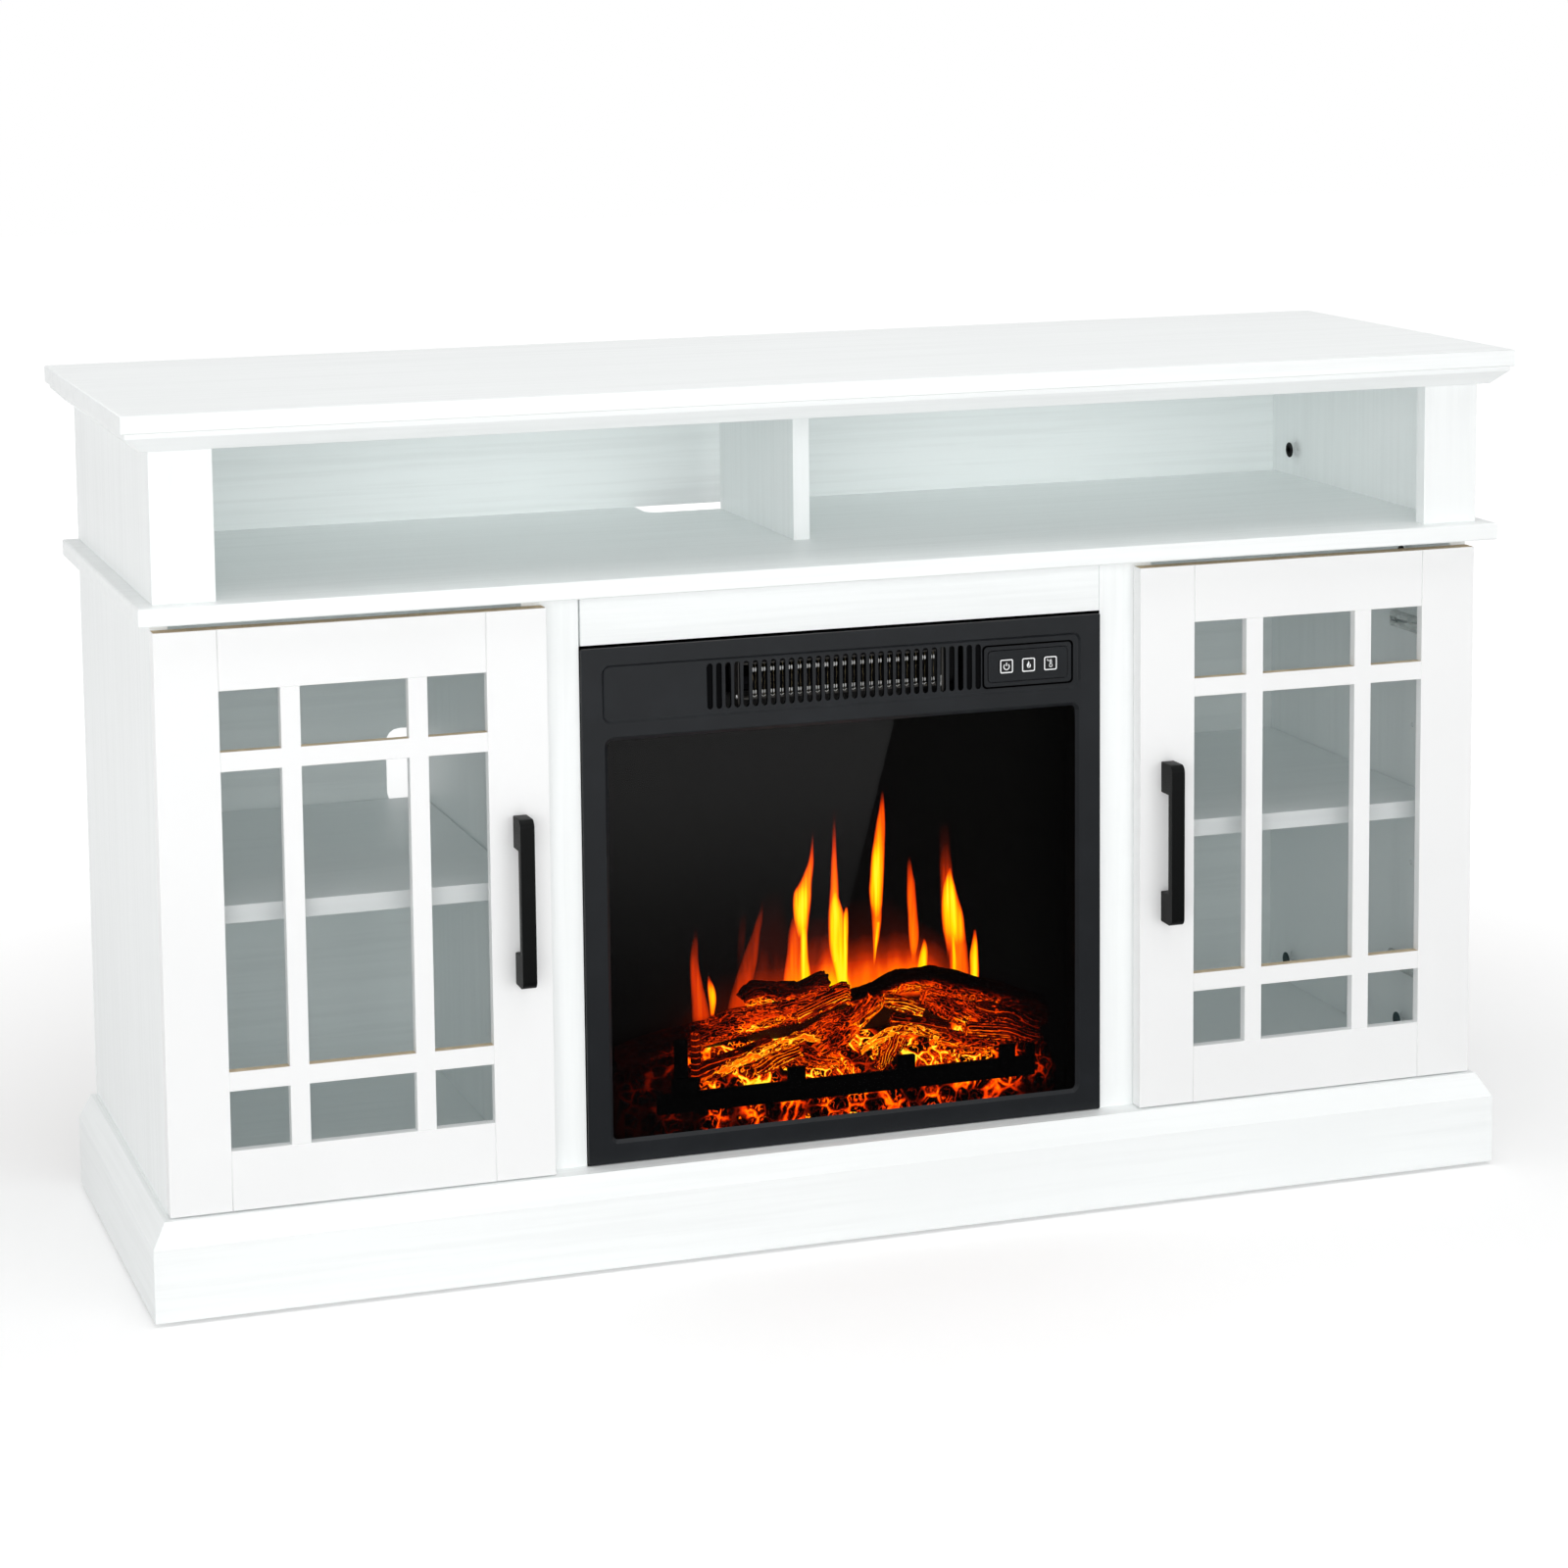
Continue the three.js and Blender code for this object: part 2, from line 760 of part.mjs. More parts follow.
// Rails sit between the stiles, and a fine groove shows each joint on both faces
function doorFrame() {
  const outer = block(doorX, [doorFront, doorBack], [doorLow, doorHigh]);
  const tools = [block(doorOpenX, [doorFront - cutOverrun, doorBack + cutOverrun], doorOpenZ)];
  const rebateX = [doorOpenX[0] - rebateWidth, doorOpenX[1] + rebateWidth];
  const rebateZ = [doorOpenZ[0] - rebateWidth, doorOpenZ[1] + rebateWidth];
  tools.push(block(rebateX, [glassFront, doorBack + cutOverrun], rebateZ));
  for (const x of doorOpenX) {
    for (const z of [[doorLow - cutOverrun, doorOpenZ[0]], [doorOpenZ[1], doorHigh + cutOverrun]]) {
      const grooveX = [x - jointGroove / 2, x + jointGroove / 2];
      tools.push(block(grooveX, [doorFront - cutOverrun, doorFront + jointGroove], z));
      tools.push(block(grooveX, [doorBack - jointGroove, doorBack + cutOverrun], z));
    }
  }
  for (const z of hingeHeights) {
    const bore = [doorBack - cupDepth - cupBoreClearance, doorBack + cutOverrun];
    tools.push(rod('Y', [cupX, z], cupRadius + cupBoreClearance, bore));
  }
  return cutBy(outer, ...tools);
}
placePair(doorGroups, 'door_frame_SIDE', doorFrame(), whiteFinish);

function muntinGrid() {
  const cornerPane = cornerPaneShare * (doorOpenX[1] - doorOpenX[0]);
  const bars = [];
  for (const x of [doorOpenX[0] + cornerPane, doorOpenX[1] - cornerPane - muntinWidth]) {
    bars.push(block([x, x + muntinWidth], [doorFront, glassFront], doorOpenZ));
  }
  for (const z of [doorOpenZ[0] + cornerPane, doorOpenZ[1] - cornerPane - muntinWidth]) {
    bars.push(block(doorOpenX, [doorFront, glassFront], [z, z + muntinWidth]));
  }
  return joined(...bars);
}
placePair(doorGroups, 'door_grid_SIDE', muntinGrid(), whiteFinish);

const pane = block(
  [doorOpenX[0] - rebateWidth + glassPlay, doorOpenX[1] + rebateWidth - glassPlay],
  [glassFront, glassFront + glassThick],
  [doorOpenZ[0] - rebateWidth + glassPlay, doorOpenZ[1] + rebateWidth - glassPlay],
);
placePair(doorGroups, 'door_glass_SIDE', pane, paneGlass);

// Bar pull: two square legs and a flat bar with rounded front corners
function barPull() {
  const half = pullLength / 2;
  const shape = new THREE.Shape();
  shape.moveTo(0, -half);
  shape.lineTo(0, pullLeg - half);
  shape.lineTo(pullBar - pullReach, pullLeg - half);
  shape.lineTo(pullBar - pullReach, half - pullLeg);
  shape.lineTo(0, half - pullLeg);
  shape.lineTo(0, half);
  shape.absarc(pullCorner - pullReach, half - pullCorner, pullCorner, Math.PI / 2, Math.PI);
  shape.absarc(pullCorner - pullReach, pullCorner - half, pullCorner, Math.PI, Math.PI * 1.5);
  return prism(shape, 'X', [-pullWidth / 2, pullWidth / 2], cornerSegments * 2);
}
const pullX = doorInnerEdge + pullInset;
const pullZ = (doorLow + doorHigh) / 2 - pullDrop;
placePair(doorGroups, 'door_pull_SIDE', barPull(), blackPull, pullX, doorFront, pullZ);

// Hinge cup: a pressed pot with a round flange and two screw ears above and below
function hingeCup() {
  const ears = new THREE.Shape();
  ears.absarc(0, cupEarSpan, cupEarRadius, 0, Math.PI);
  ears.absarc(0, -cupEarSpan, cupEarRadius, Math.PI, Math.PI * 2);
  const flange = joined(
    rod('Y', [0, 0], cupFlangeRadius, [0, cupFlangeThick]),
    prism(ears, 'Y', [0, cupFlangeThick], cornerSegments * 2),
    rod('Y', [0, 0], cupRadius, [-cupDepth, cupFlangeThick]),
  );
  const hollow = rod('Y', [0, 0], cupRadius - cupWall, [cupWall - cupDepth, cupFlangeThick + cutOverrun]);
  return cutBy(flange, hollow);
}

// Hinge arm: a winged plate screwed to the side panel, and an arm whose nose enters the cup
function hingeArm() {
  const noseFront = pivotY + armTipReach;
  const plateY = lowerFront + plateFromFront;
  const face = 0;
  const wingY = [plateY - plateWingWidth / 2, plateY + plateWingWidth / 2];
  const plate = joined(
    block([-plateThick, face], wingY, [-plateWing, plateWing]),
    block([-plateThick, face], [plateY - plateWing, lowerFront + armRear], [-armWidth / 2, armWidth / 2]),
  );
  const outline = polygon([
    [-armTipLow, noseFront],
    [-armTipHigh, noseFront],
    [-armTipHigh, lowerFront + armNose],
    [-armThick - armLift, plateY - plateWing],
    [-armThick - armLift, lowerFront + armRear - armNose],
    [-plateThick, lowerFront + armRear],
    [-plateThick, plateY - plateWing],
    [-armTipLow, lowerFront + armNose],
  ]);
  const arm = prism(outline, 'Z', [-armWidth / 2, armWidth / 2]);
  const slotEnd = lowerFront + armRear - armSlotSetback;
  const slotRadius = armSlotWidth / 2;
  const slot = roundedRectangle([slotEnd - armSlotLength, slotEnd], [-slotRadius, slotRadius], slotRadius);
  const screwSlot = prism(slot, 'X', [-armThick - armLift - cutOverrun, -plateThick - armLift]);
  const eyes = [];
  for (const z of [-plateWing + armSlotWidth, plateWing - armSlotWidth]) {
    eyes.push(rod('X', [plateY, z], slotRadius, [-plateThick - cutOverrun, cutOverrun], boreSegments));
  }
  return cutBy(joined(plate, arm), screwSlot, ...eyes);
}
const cup = hingeCup();
const arm = hingeArm();
['lower', 'upper'].forEach((level, i) => {
  placePair(doorGroups, `hinge_cup_${level}_SIDE`, cup, brightMetal, cupX, doorBack, hingeHeights[i]);
  placePair(cabinetSides, `hinge_arm_${level}_SIDE`, arm, brightMetal, bodyInner, 0, hingeHeights[i]);
});

// Fire insert
const insert = assembly();
const bezelX = [-bezelWidth / 2, bezelWidth / 2];
const bezelZ = [bezelBottom, bezelTop];
const fieldX = [-fieldWidth / 2, fieldWidth / 2];
const fieldZ = [fieldLow, fieldTop];
const fieldFloor = bezelFront + fieldRecess;
const fieldBack = fieldFloor + bezelThick;
const windowZ = [bezelBottom + windowLow, fieldLow - windowTopGap];
const panelX = [panelCentreX - panelWidth / 2, panelCentreX + panelWidth / 2];
const panelMiddle = fieldLow + panelRise;
const panelZ = [panelMiddle - panelHeight / 2, panelMiddle + panelHeight / 2];

function insetSpan(span, inset) {
  return [span[0] + inset, span[1] - inset];
}

function grilleSlots() {
  const slots = [];
  const low = fieldLow + slotRise;
  for (let i = 0; i < slotCount; i += 1) {
    const x = (i - (slotCount - 1) / 2) * slotPitch;
    const blind = i < blindSlots || i >= slotCount - blindSlots;
    const rear = blind ? fieldFloor + blindDepth : fieldBack + cutOverrun;
    const wide = [x - slotWidth / 2, x + slotWidth / 2];
    const outline = roundedRectangle(wide, [low, low + slotHeight], slotWidth / 2);
    slots.push(prism(outline, 'Y', [bezelFront - cutOverrun, rear], slotSegments));
  }
  return slots;
}

function bezel() {
  const outline = roundedRectangle(bezelX, bezelZ, bezelCorner);
  const plate = prism(outline, 'Y', [bezelFront, bezelPlane]);
  const lipEnd = bezelPlane + bezelLipDepth;
  const lip = cutBy(
    prism(outline, 'Y', [bezelPlane - bezelThick / 2, lipEnd]),
    block(insetSpan(bezelX, bezelLip), [bezelPlane, lipEnd + cutOverrun], insetSpan(bezelZ, bezelLip)),
  );
  const boss = prism(
    roundedRectangle(insetSpan(fieldX, -fieldWall), insetSpan(fieldZ, -fieldWall), fieldRadius),
    'Y',
    [bezelPlane - bezelThick / 2, fieldBack],
  );
  const windowOutline = roundedRectangle([-windowWidth / 2, windowWidth / 2], windowZ, windowRadius);
  return cutBy(
    joined(plate, lip, boss),
    prism(windowOutline, 'Y', [bezelFront - cutOverrun, bezelPlane + cutOverrun]),
    flaredTool(windowOutline, bezelPlane, windowBevel, bezelThick),
    flaredTool(roundedRectangle(fieldX, fieldZ, fieldRadius), fieldFloor, fieldWall, fieldRecess),
    prism(panelOutline(0, panelRadius), 'Y', [bezelFront - cutOverrun, fieldBack + cutOverrun]),
    ...grilleSlots(),
  );
}
place(insert, 'bezel', bezel(), slateBezel);

// Control panel: a stepped plate seated behind the field, with three button windows
const buttonXs = [-buttonPitch, 0, buttonPitch].map((step) => panelCentreX + step);
const panelFront = fieldFloor - panelProud;
const panelBack = fieldBack + panelFlangeThick;

function squareAt(x, half) {
  return [[x - half, x + half], [panelMiddle - half, panelMiddle + half]];
}

function panelOutline(inset, radius) {
  return roundedRectangle(insetSpan(panelX, inset), insetSpan(panelZ, inset), radius);
}

function controlPanel() {
  const faceOutline = panelOutline(panelGroove, panelRadius - panelGroove);
  const face = prism(faceOutline, 'Y', [panelFront, fieldBack + panelFlangeThick / 2]);
  const flange = prism(panelOutline(-panelFlange, panelRadius), 'Y', [fieldBack, panelBack]);
  const through = [panelFront - cutOverrun, panelBack + cutOverrun];
  const openings = buttonXs.map((x) => {
    const [u, v] = squareAt(x, buttonSize / 2 + buttonClearance);
    return prism(roundedRectangle(u, v, buttonRadius + buttonClearance), 'Y', through);
  });
  return cutBy(joined(face, flange), ...openings);
}
place(insert, 'control_panel', controlPanel(), slateBezel);

function button() {
  const half = buttonSize / 2;
  const wide = half + buttonFlange;
  const capOutline = roundedRectangle([-half, half], [-half, half], buttonRadius);
  const cap = prism(capOutline, 'Y', [panelFront - buttonProud, panelBack + seatGap + buttonFlangeThick]);
  const rim = prism(
    roundedRectangle([-wide, wide], [-wide, wide], buttonRadius),
    'Y',
    [panelBack + seatGap, panelBack + seatGap + buttonFlangeThick],
  );
  return joined(cap, rim);
}
const buttonSolid = button();
['power_button', 'flame_button', 'heat_button'].forEach((name, i) => {
  place(insert, name, buttonSolid, blackPlastic, buttonXs[i], 0, panelMiddle);
});

// Glass clamped behind the bezel window
const fireGlassX = [-windowWidth / 2 - fireGlassMargin, windowWidth / 2 + fireGlassMargin];
const fireGlassSpan = [bezelPlane, bezelPlane + fireGlassThick];
const fireGlassPane = block(fireGlassX, fireGlassSpan, insetSpan(windowZ, -fireGlassMargin));
place(insert, 'fire_glass', fireGlassPane, fireGlass);

// Folded steel housing: fire chamber below, heater duct above, both open to the front
function housing() {
  const x = [-housingWidth / 2, housingWidth / 2];
  const inner = [-housingInner, housingInner];
  const shell = block(x, [bezelPlane, housingBack], [housingLow, housingTop]);
  const depth = [bezelPlane - cutOverrun, housingBack - sheet];
  const chamber = block(inner, depth, [chamberFloor, heaterFloor]);
  const duct = block(inner, depth, [heaterBase, housingTop - sheet]);
  let body = cutBy(shell, chamber, duct);
  for (const side of [-1, 1]) {
    const middle = side * (housingWidth / 2 - skidInset);
    const skidX = [middle - skidWidth / 2, middle + skidWidth / 2];
    const skidY = insetSpan([bezelPlane, housingBack], skidMargin);
    body = body.add(block(skidX, skidY, [floorTop, chamberFloor]));
  }
  for (let i = 0; i < ventCount; i += 1) {
    const middle = (i - (ventCount - 1) / 2) * ventPitch;
    const vent = roundedRectangle(
      [middle - ventWidth / 2, middle + ventWidth / 2],
      [blowerZ - ventHeight / 2, blowerZ + ventHeight / 2],
      ventWidth / 2,
    );
    const through = [housingBack - sheet - cutOverrun, housingBack + cutOverrun];
    body = body.subtract(prism(vent, 'Y', through, slotSegments));
  }
  const rodBore = [rodBushFace() - rodStub - seatGap, rodBushFace() + cutOverrun];
  const blowerBore = insetSpan(blowerBushX(), -cutOverrun);
  const cordBore = [housingBack - cutOverrun, housingBack + glandLength + cutOverrun];
  return cutBy(
    joined(body, rodBush(), blowerBush(), lampBoard(), cordGland()),
    rod('X', [rodY, rodZ], rodRadius + runningClearance, rodBore, boreSegments),
    rod('X', [blowerY, blowerZ], shaftRadius + runningClearance, blowerBore, boreSegments),
    rod('Y', [glandX, housingLow + glandUp], glandBore, cordBore, boreSegments),
  );
}

// Flame rod bush on the left wall
function rodBushFace() {
  return -housingInner + rodBossLength + rodStub;
}

function rodBush() {
  return rod('X', [rodY, rodZ], rodBossRadius, [-housingInner - sheet / 2, rodBushFace()]);
}

// Blower bush: an upright bracket across the duct at the wheel's left end
function blowerBushX() {
  const face = -wheelLength / 2 - motorGap;
  return [face - bushPlate, face];
}

function blowerBush() {
  const half = shaftRadius + runningClearance + bushWall;
  const upright = [heaterFloor + sheet / 2, housingTop - sheet / 2];
  return block(blowerBushX(), [blowerY - half, blowerY + half], upright);
}

// Lamp board under the flame rod
function lampBoard() {
  const y = bezelPlane + lampBoardSetback;
  return block(
    [rodBushFace(), -rodBushFace()],
    [y - lampBoardDepth / 2, y + lampBoardDepth / 2],
    [chamberFloor - sheet / 2, chamberFloor + lampBoardHeight],
  );
}

function cordGland() {
  const middle = [glandX, housingLow + glandUp];
  return rod('Y', middle, glandRadius, [housingBack - sheet / 2, housingBack + glandLength], boreSegments);
}
place(insert, 'housing', housing(), steelHousing);

// Heater element: mica strips between two end plates, laced with ribbon wire
function heater() {
  const y = [bezelPlane + heaterBack, bezelPlane + heaterBack + heaterDepth];
  const half = heaterWidth / 2;
  const pieces = [];
  for (const x of [-half, half - micaThick]) {
    pieces.push(block([x, x + micaThick], y, [heaterBase, heaterBase + heaterHeight]));
  }
  const stripX = insetSpan([-half, half], micaThick / 2);
  for (const up of [micaLow, micaHigh]) {
    pieces.push(block(stripX, insetSpan(y, micaThick), [heaterBase + up, heaterBase + up + micaThick]));
  }
  const wireY = (y[0] + y[1]) / 2;
  const wireZ = [heaterBase + micaLow + micaThick / 2, heaterBase + micaHigh + micaThick / 2];
  for (let i = 0; i < wirePairs; i += 1) {
    const middle = (i - (wirePairs - 1) / 2) * wirePitch;
    for (const side of [-1, 1]) {
      const x = middle + side * wireSplit / 2;
      const depth = [wireY + side * wireSize, wireY + side * wireSize + wireSize];
      pieces.push(block([x - wireSize / 2, x + wireSize / 2], depth, wireZ));
    }
  }
  return joined(...pieces);
}
place(insert, 'heater_element', heater(), brightMetal);

// Blower wheel: two end discs, a ring of raked blades and a shaft
function blowerWheel() {
  const half = wheelLength / 2;
  const pieces = [
    rod('X', [0, 0], wheelRadius, [-half, wheelDisc - half]),
    rod('X', [0, 0], wheelRadius, [half - wheelDisc, half]),
    rod('X', [0, 0], shaftRadius, [-half - shaftStub, wheelDisc - half], boreSegments),
    rod('X', [0, 0], shaftRadius, [half - wheelDisc, half + shaftStub], boreSegments),
  ];
  for (let i = 0; i < wheelBlades; i += 1) {
    const turn = i / wheelBlades * Math.PI * 2;
    const rake = turn + Math.PI / wheelBlades;
    const outerEdge = [wheelBladeOuter * Math.cos(rake), wheelBladeOuter * Math.sin(rake)];
    const innerEdge = [wheelBladeInner * Math.cos(turn), wheelBladeInner * Math.sin(turn)];
    const normal = [-Math.sin(turn) * bladeThick, Math.cos(turn) * bladeThick];
    const blade = polygon([
      innerEdge,
      outerEdge,
      [outerEdge[0] + normal[0], outerEdge[1] + normal[1]],
      [innerEdge[0] + normal[0], innerEdge[1] + normal[1]],
    ]);
    pieces.push(prism(blade, 'X', insetSpan([-half, half], wheelDisc / 2)));
  }
  return joined(...pieces);
}
place(insert, 'blower_wheel', blowerWheel(), brightMetal, 0, blowerY, blowerZ);

// Blower motor: a squared stator on a foot, bored for the wheel's shaft
function blowerMotor() {
  const face = wheelLength / 2 + motorGap;
  const half = motorSize / 2;
  const section = roundedRectangle([-half, half], [-half, half], motorCorner);
  const body = prism(section, 'X', [face, face + motorLength]);
  const sole = heaterBase - blowerZ;
  const footing = block([face, face + motorFootWidth], [-half, half], [sole, motorCorner - half]);
  const bore = rod('X', [0, 0], shaftRadius + runningClearance, [face - cutOverrun, face + shaftStub]);
  return cutBy(joined(body, footing), bore);
}
place(insert, 'blower_motor', blowerMotor(), steelHousing, 0, blowerY, blowerZ);

// Flame screen: a translucent sheet that stands behind the logs
const screenY = [bezelPlane + screenSetback, bezelPlane + screenSetback + screenThick];
const screenX = insetSpan([-housingInner, housingInner], screenPlay);
const screenSheet = block(screenX, screenY, [chamberFloor, heaterFloor - screenPlay]);
place(insert, 'flame_screen', screenSheet, screenFinish);

// Flame rod: a thin spindle with foil paddles set at stepped angles
const rodMotorFace = housingInner - rodMotorLength - rodBossLength;
const rodLeft = rodBushFace() - rodStub;
const rodRight = rodMotorFace + rodStub;

function flameRod() {
  const spindle = rod('X', [0, 0], rodRadius, [rodLeft, rodRight], boreSegments);
  const room = [rodBushFace() + paddleLength / 2, rodMotorFace - paddleLength / 2];
  const pitch = (room[1] - room[0] - paddleLength) / (paddleCount - 1);
  const paddles = [];
  for (let i = 0; i < paddleCount; i += 1) {
    const middle = room[0] + paddleLength / 2 + i * pitch;
    const foil = new THREE.BoxGeometry(paddleLength, paddleWidth, paddleThick);
    foil.rotateX(i * paddleTurn);
    foil.translate(middle, 0, 0);
    paddles.push(solidOf(foil));
  }
  return joined(spindle, ...paddles);
}
place(insert, 'flame_rod', flameRod(), foilFinish, 0, rodY, rodZ);

// Flame rod motor: a round geared can on the right wall
function rodMotor() {
  const can = rod('X', [0, 0], rodMotorRadius, [housingInner - rodMotorLength, housingInner]);
  const bossSpan = [rodMotorFace, housingInner - rodMotorLength / 2];
  const boss = rod('X', [0, 0], rodBossRadius, bossSpan, boreSegments);
  const boreSpan = [rodMotorFace - cutOverrun, rodRight + seatGap];
  const bore = rod('X', [0, 0], rodRadius + runningClearance, boreSpan, boreSegments);
  return cutBy(joined(can, boss), bore);
}
place(insert, 'rod_motor', rodMotor(), steelHousing, 0, rodY, rodZ);

// Log set: an ember bed with split logs on it and the grate bar across its front
const logSpan = [bezelPlane + logSetFront, bezelPlane + logSetBack];
const logDepth = logSpan[1] - logSpan[0];
const logHeight = rodUp * 2;

// Each log runs between two points, given as shares of half width, depth and height, and tapers
const logShares = [
  { from: [-0.97, 0.5, 0.49], to: [-0.15, 0.62, 0.83], girth: [0.34, 0.34], bend: 0.04 },
  { from: [-0.5, 0.6, 0.86], to: [0.03, 0.6, 0.93], girth: [0.3, 0.34], bend: 0.02 },
  { from: [0.98, 0.5, 0.55], to: [0.2, 0.62, 0.91], girth: [0.32, 0.38], bend: 0.04 },
  { from: [-0.64, 0.32, 0.55], to: [-0.2, 0.36, 0.75], girth: [0.24, 0.26], bend: 0.01 },
  { from: [0.95, 0.38, 0.42], to: [0.5, 0.38, 0.68], girth: [0.34, 0.36], bend: 0.02 },
  { from: [-0.12, 0.32, 0.5], to: [0.22, 0.5, 0.85], girth: [0.28, 0.3], bend: 0 },
];

function logPoint(shares) {
  const x = shares[0] * logBedWidth / 2;
  const y = logSpan[0] + shares[1] * logDepth;
  return new THREE.Vector3(x, y, chamberFloor + shares[2] * logHeight);
}

// A log is a lathe of knotty rings, bent along a curve between its ends
function splitLog({ from, to, girth, bend }, order) {
  const start = logPoint(from);
  const end = logPoint(to);
  const middle = start.clone().lerp(end, 1 / 2);
  middle.z += bend * logHeight;
  const curve = new THREE.QuadraticBezierCurve3(start, middle, end);
  const length = start.distanceTo(end);
  const profile = [new THREE.Vector2(0, 0)];
  for (let i = 0; i <= logRings; i += 1) {
    const share = i / logRings;
    const radius = THREE.MathUtils.lerp(girth[0], girth[1], share) * logDepth;
    const knot = 1 - Math.cos(share * Math.PI * logKnots) * logKnotShare;
    profile.push(new THREE.Vector2(radius * knot, share * length));
  }
  profile.push(new THREE.Vector2(0, length));
  const lathe = new THREE.LatheGeometry(profile, logSides);
  lathe.rotateY((order + 1) * logRoll);
  const vertices = lathe.attributes.position;
  const point = new THREE.Vector3();
  const side = new THREE.Vector3();
  for (let i = 0; i < vertices.count; i += 1) {
    const share = THREE.MathUtils.clamp(vertices.getY(i) / length, 0, 1);
    const tangent = curve.getTangent(share);
    side.crossVectors(axisY, tangent).normalize();
    const across = side.clone().cross(tangent);
    curve.getPoint(share, point);
    point.addScaledVector(side, vertices.getX(i)).addScaledVector(across, vertices.getZ(i));
    vertices.setXYZ(i, point.x, point.y, point.z);
  }
  return solidOf(lathe);
}

function emberBed() {
  const crest = chamberFloor + logBedCrest;
  const section = polygon([
    [logSpan[0], chamberFloor],
    [logSpan[1], chamberFloor],
    [logSpan[1], crest],
    [logSpan[1] - logBedCrestDepth, crest],
    [logSpan[0] + logBedCrestDepth, chamberFloor + grateLow + grateBar - logShoulder],
    [logSpan[0] + grateThick, chamberFloor + grateLow + grateBar - logShoulder],
    [logSpan[0], chamberFloor + logBedLip],
  ]);
  return prism(section, 'X', [-logBedWidth / 2, logBedWidth / 2]);
}

function grateBarSolid() {
  const low = chamberFloor + grateLow;
  const y = [logSpan[0] - grateProud, logSpan[0] + 2 * grateThick];
  const pieces = [block([-grateWidth / 2, grateWidth / 2], y, [low, low + grateBar])];
  lugCentreShares.forEach((share, i) => {
    const x = share * grateWidth;
    const wide = lugWidths[i] / 2;
    const upright = [low + grateBar / 2, low + grateBar + lugHeight];
    pieces.push(block([x - wide, x + wide], insetSpan(y, grateProud / 2), upright));
  });
  return joined(...pieces);
}

function logSet() {
  const room = block(
    insetSpan([-logBedWidth / 2, logBedWidth / 2], logTrim),
    insetSpan(logSpan, logTrim),
    [chamberFloor + logBedLip, chamberFloor + 2 * logHeight],
  );
  const logs = joined(...logShares.map(splitLog)).intersect(room);
  return outerBody(joined(emberBed(), logs, grateBarSolid()));
}
place(insert, 'log_set', logSet(), logFinish);

export default model;
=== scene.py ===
"""Dresses a fireplace television stand: boards, doors, fittings and the lit fire insert."""

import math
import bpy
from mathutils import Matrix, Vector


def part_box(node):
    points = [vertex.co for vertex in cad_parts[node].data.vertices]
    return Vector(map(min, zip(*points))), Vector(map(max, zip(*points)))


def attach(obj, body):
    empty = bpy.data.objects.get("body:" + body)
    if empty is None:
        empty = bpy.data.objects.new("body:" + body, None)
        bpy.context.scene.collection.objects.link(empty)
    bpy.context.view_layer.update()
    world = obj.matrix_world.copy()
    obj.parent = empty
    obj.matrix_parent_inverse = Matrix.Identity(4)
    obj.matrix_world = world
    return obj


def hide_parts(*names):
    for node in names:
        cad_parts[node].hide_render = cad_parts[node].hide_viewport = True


bl_info = {
    "name": "Fireplace Television Stand",
    "version": (1, 0, 0),
    "blender": (4, 5, 0),
    "location": "View3D > Sidebar > Fire Stand",
    "description": "Builds the boards, doors, fittings and electric fire of a television stand",
    "category": "Object",
}

import bmesh
import bpy
from mathutils import Matrix, Vector, noise

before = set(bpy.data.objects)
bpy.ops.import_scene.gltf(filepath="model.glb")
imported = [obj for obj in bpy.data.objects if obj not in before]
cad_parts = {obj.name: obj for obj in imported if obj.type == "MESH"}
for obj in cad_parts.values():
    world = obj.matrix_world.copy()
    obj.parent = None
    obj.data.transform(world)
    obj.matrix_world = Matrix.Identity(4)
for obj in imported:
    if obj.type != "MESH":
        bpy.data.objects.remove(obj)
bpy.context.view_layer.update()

MM = 0.001
MERGE = 0.00001
SIDES = ("left", "right")
AXES = "XYZ"


def edge(node, axis, high):
    """One face of a CAD node's box, in metres."""
    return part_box(node)[high][AXES.index(axis)]


def shade(values, amount):
    """A colour or a place with each of its values multiplied."""
    return [value * amount for value in values]


def face_of(node):
    """Middle and half size, in X and Z, of a CAD node's box."""
    low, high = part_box(node)
    middle = ((low.x + high.x) / 2, (low.z + high.z) / 2)
    return middle, (high.x - low.x) / 2, (high.z - low.z) / 2


# Node trees written as expressions


class Signal:
    """A node's output that can stand in a sum."""

    def __init__(self, graph, socket):
        self.graph = graph
        self.socket = socket

    def __add__(self, other):
        return self.graph.calc("ADD", self, other)

    def __sub__(self, other):
        return self.graph.calc("SUBTRACT", self, other)

    def __rsub__(self, other):
        return self.graph.calc("SUBTRACT", other, self)

    def __mul__(self, other):
        return self.graph.calc("MULTIPLY", self, other)

    def __truediv__(self, other):
        return self.graph.calc("DIVIDE", self, other)

    def __pow__(self, other):
        return self.graph.calc("POWER", self, other)

    __radd__ = __add__
    __rmul__ = __mul__


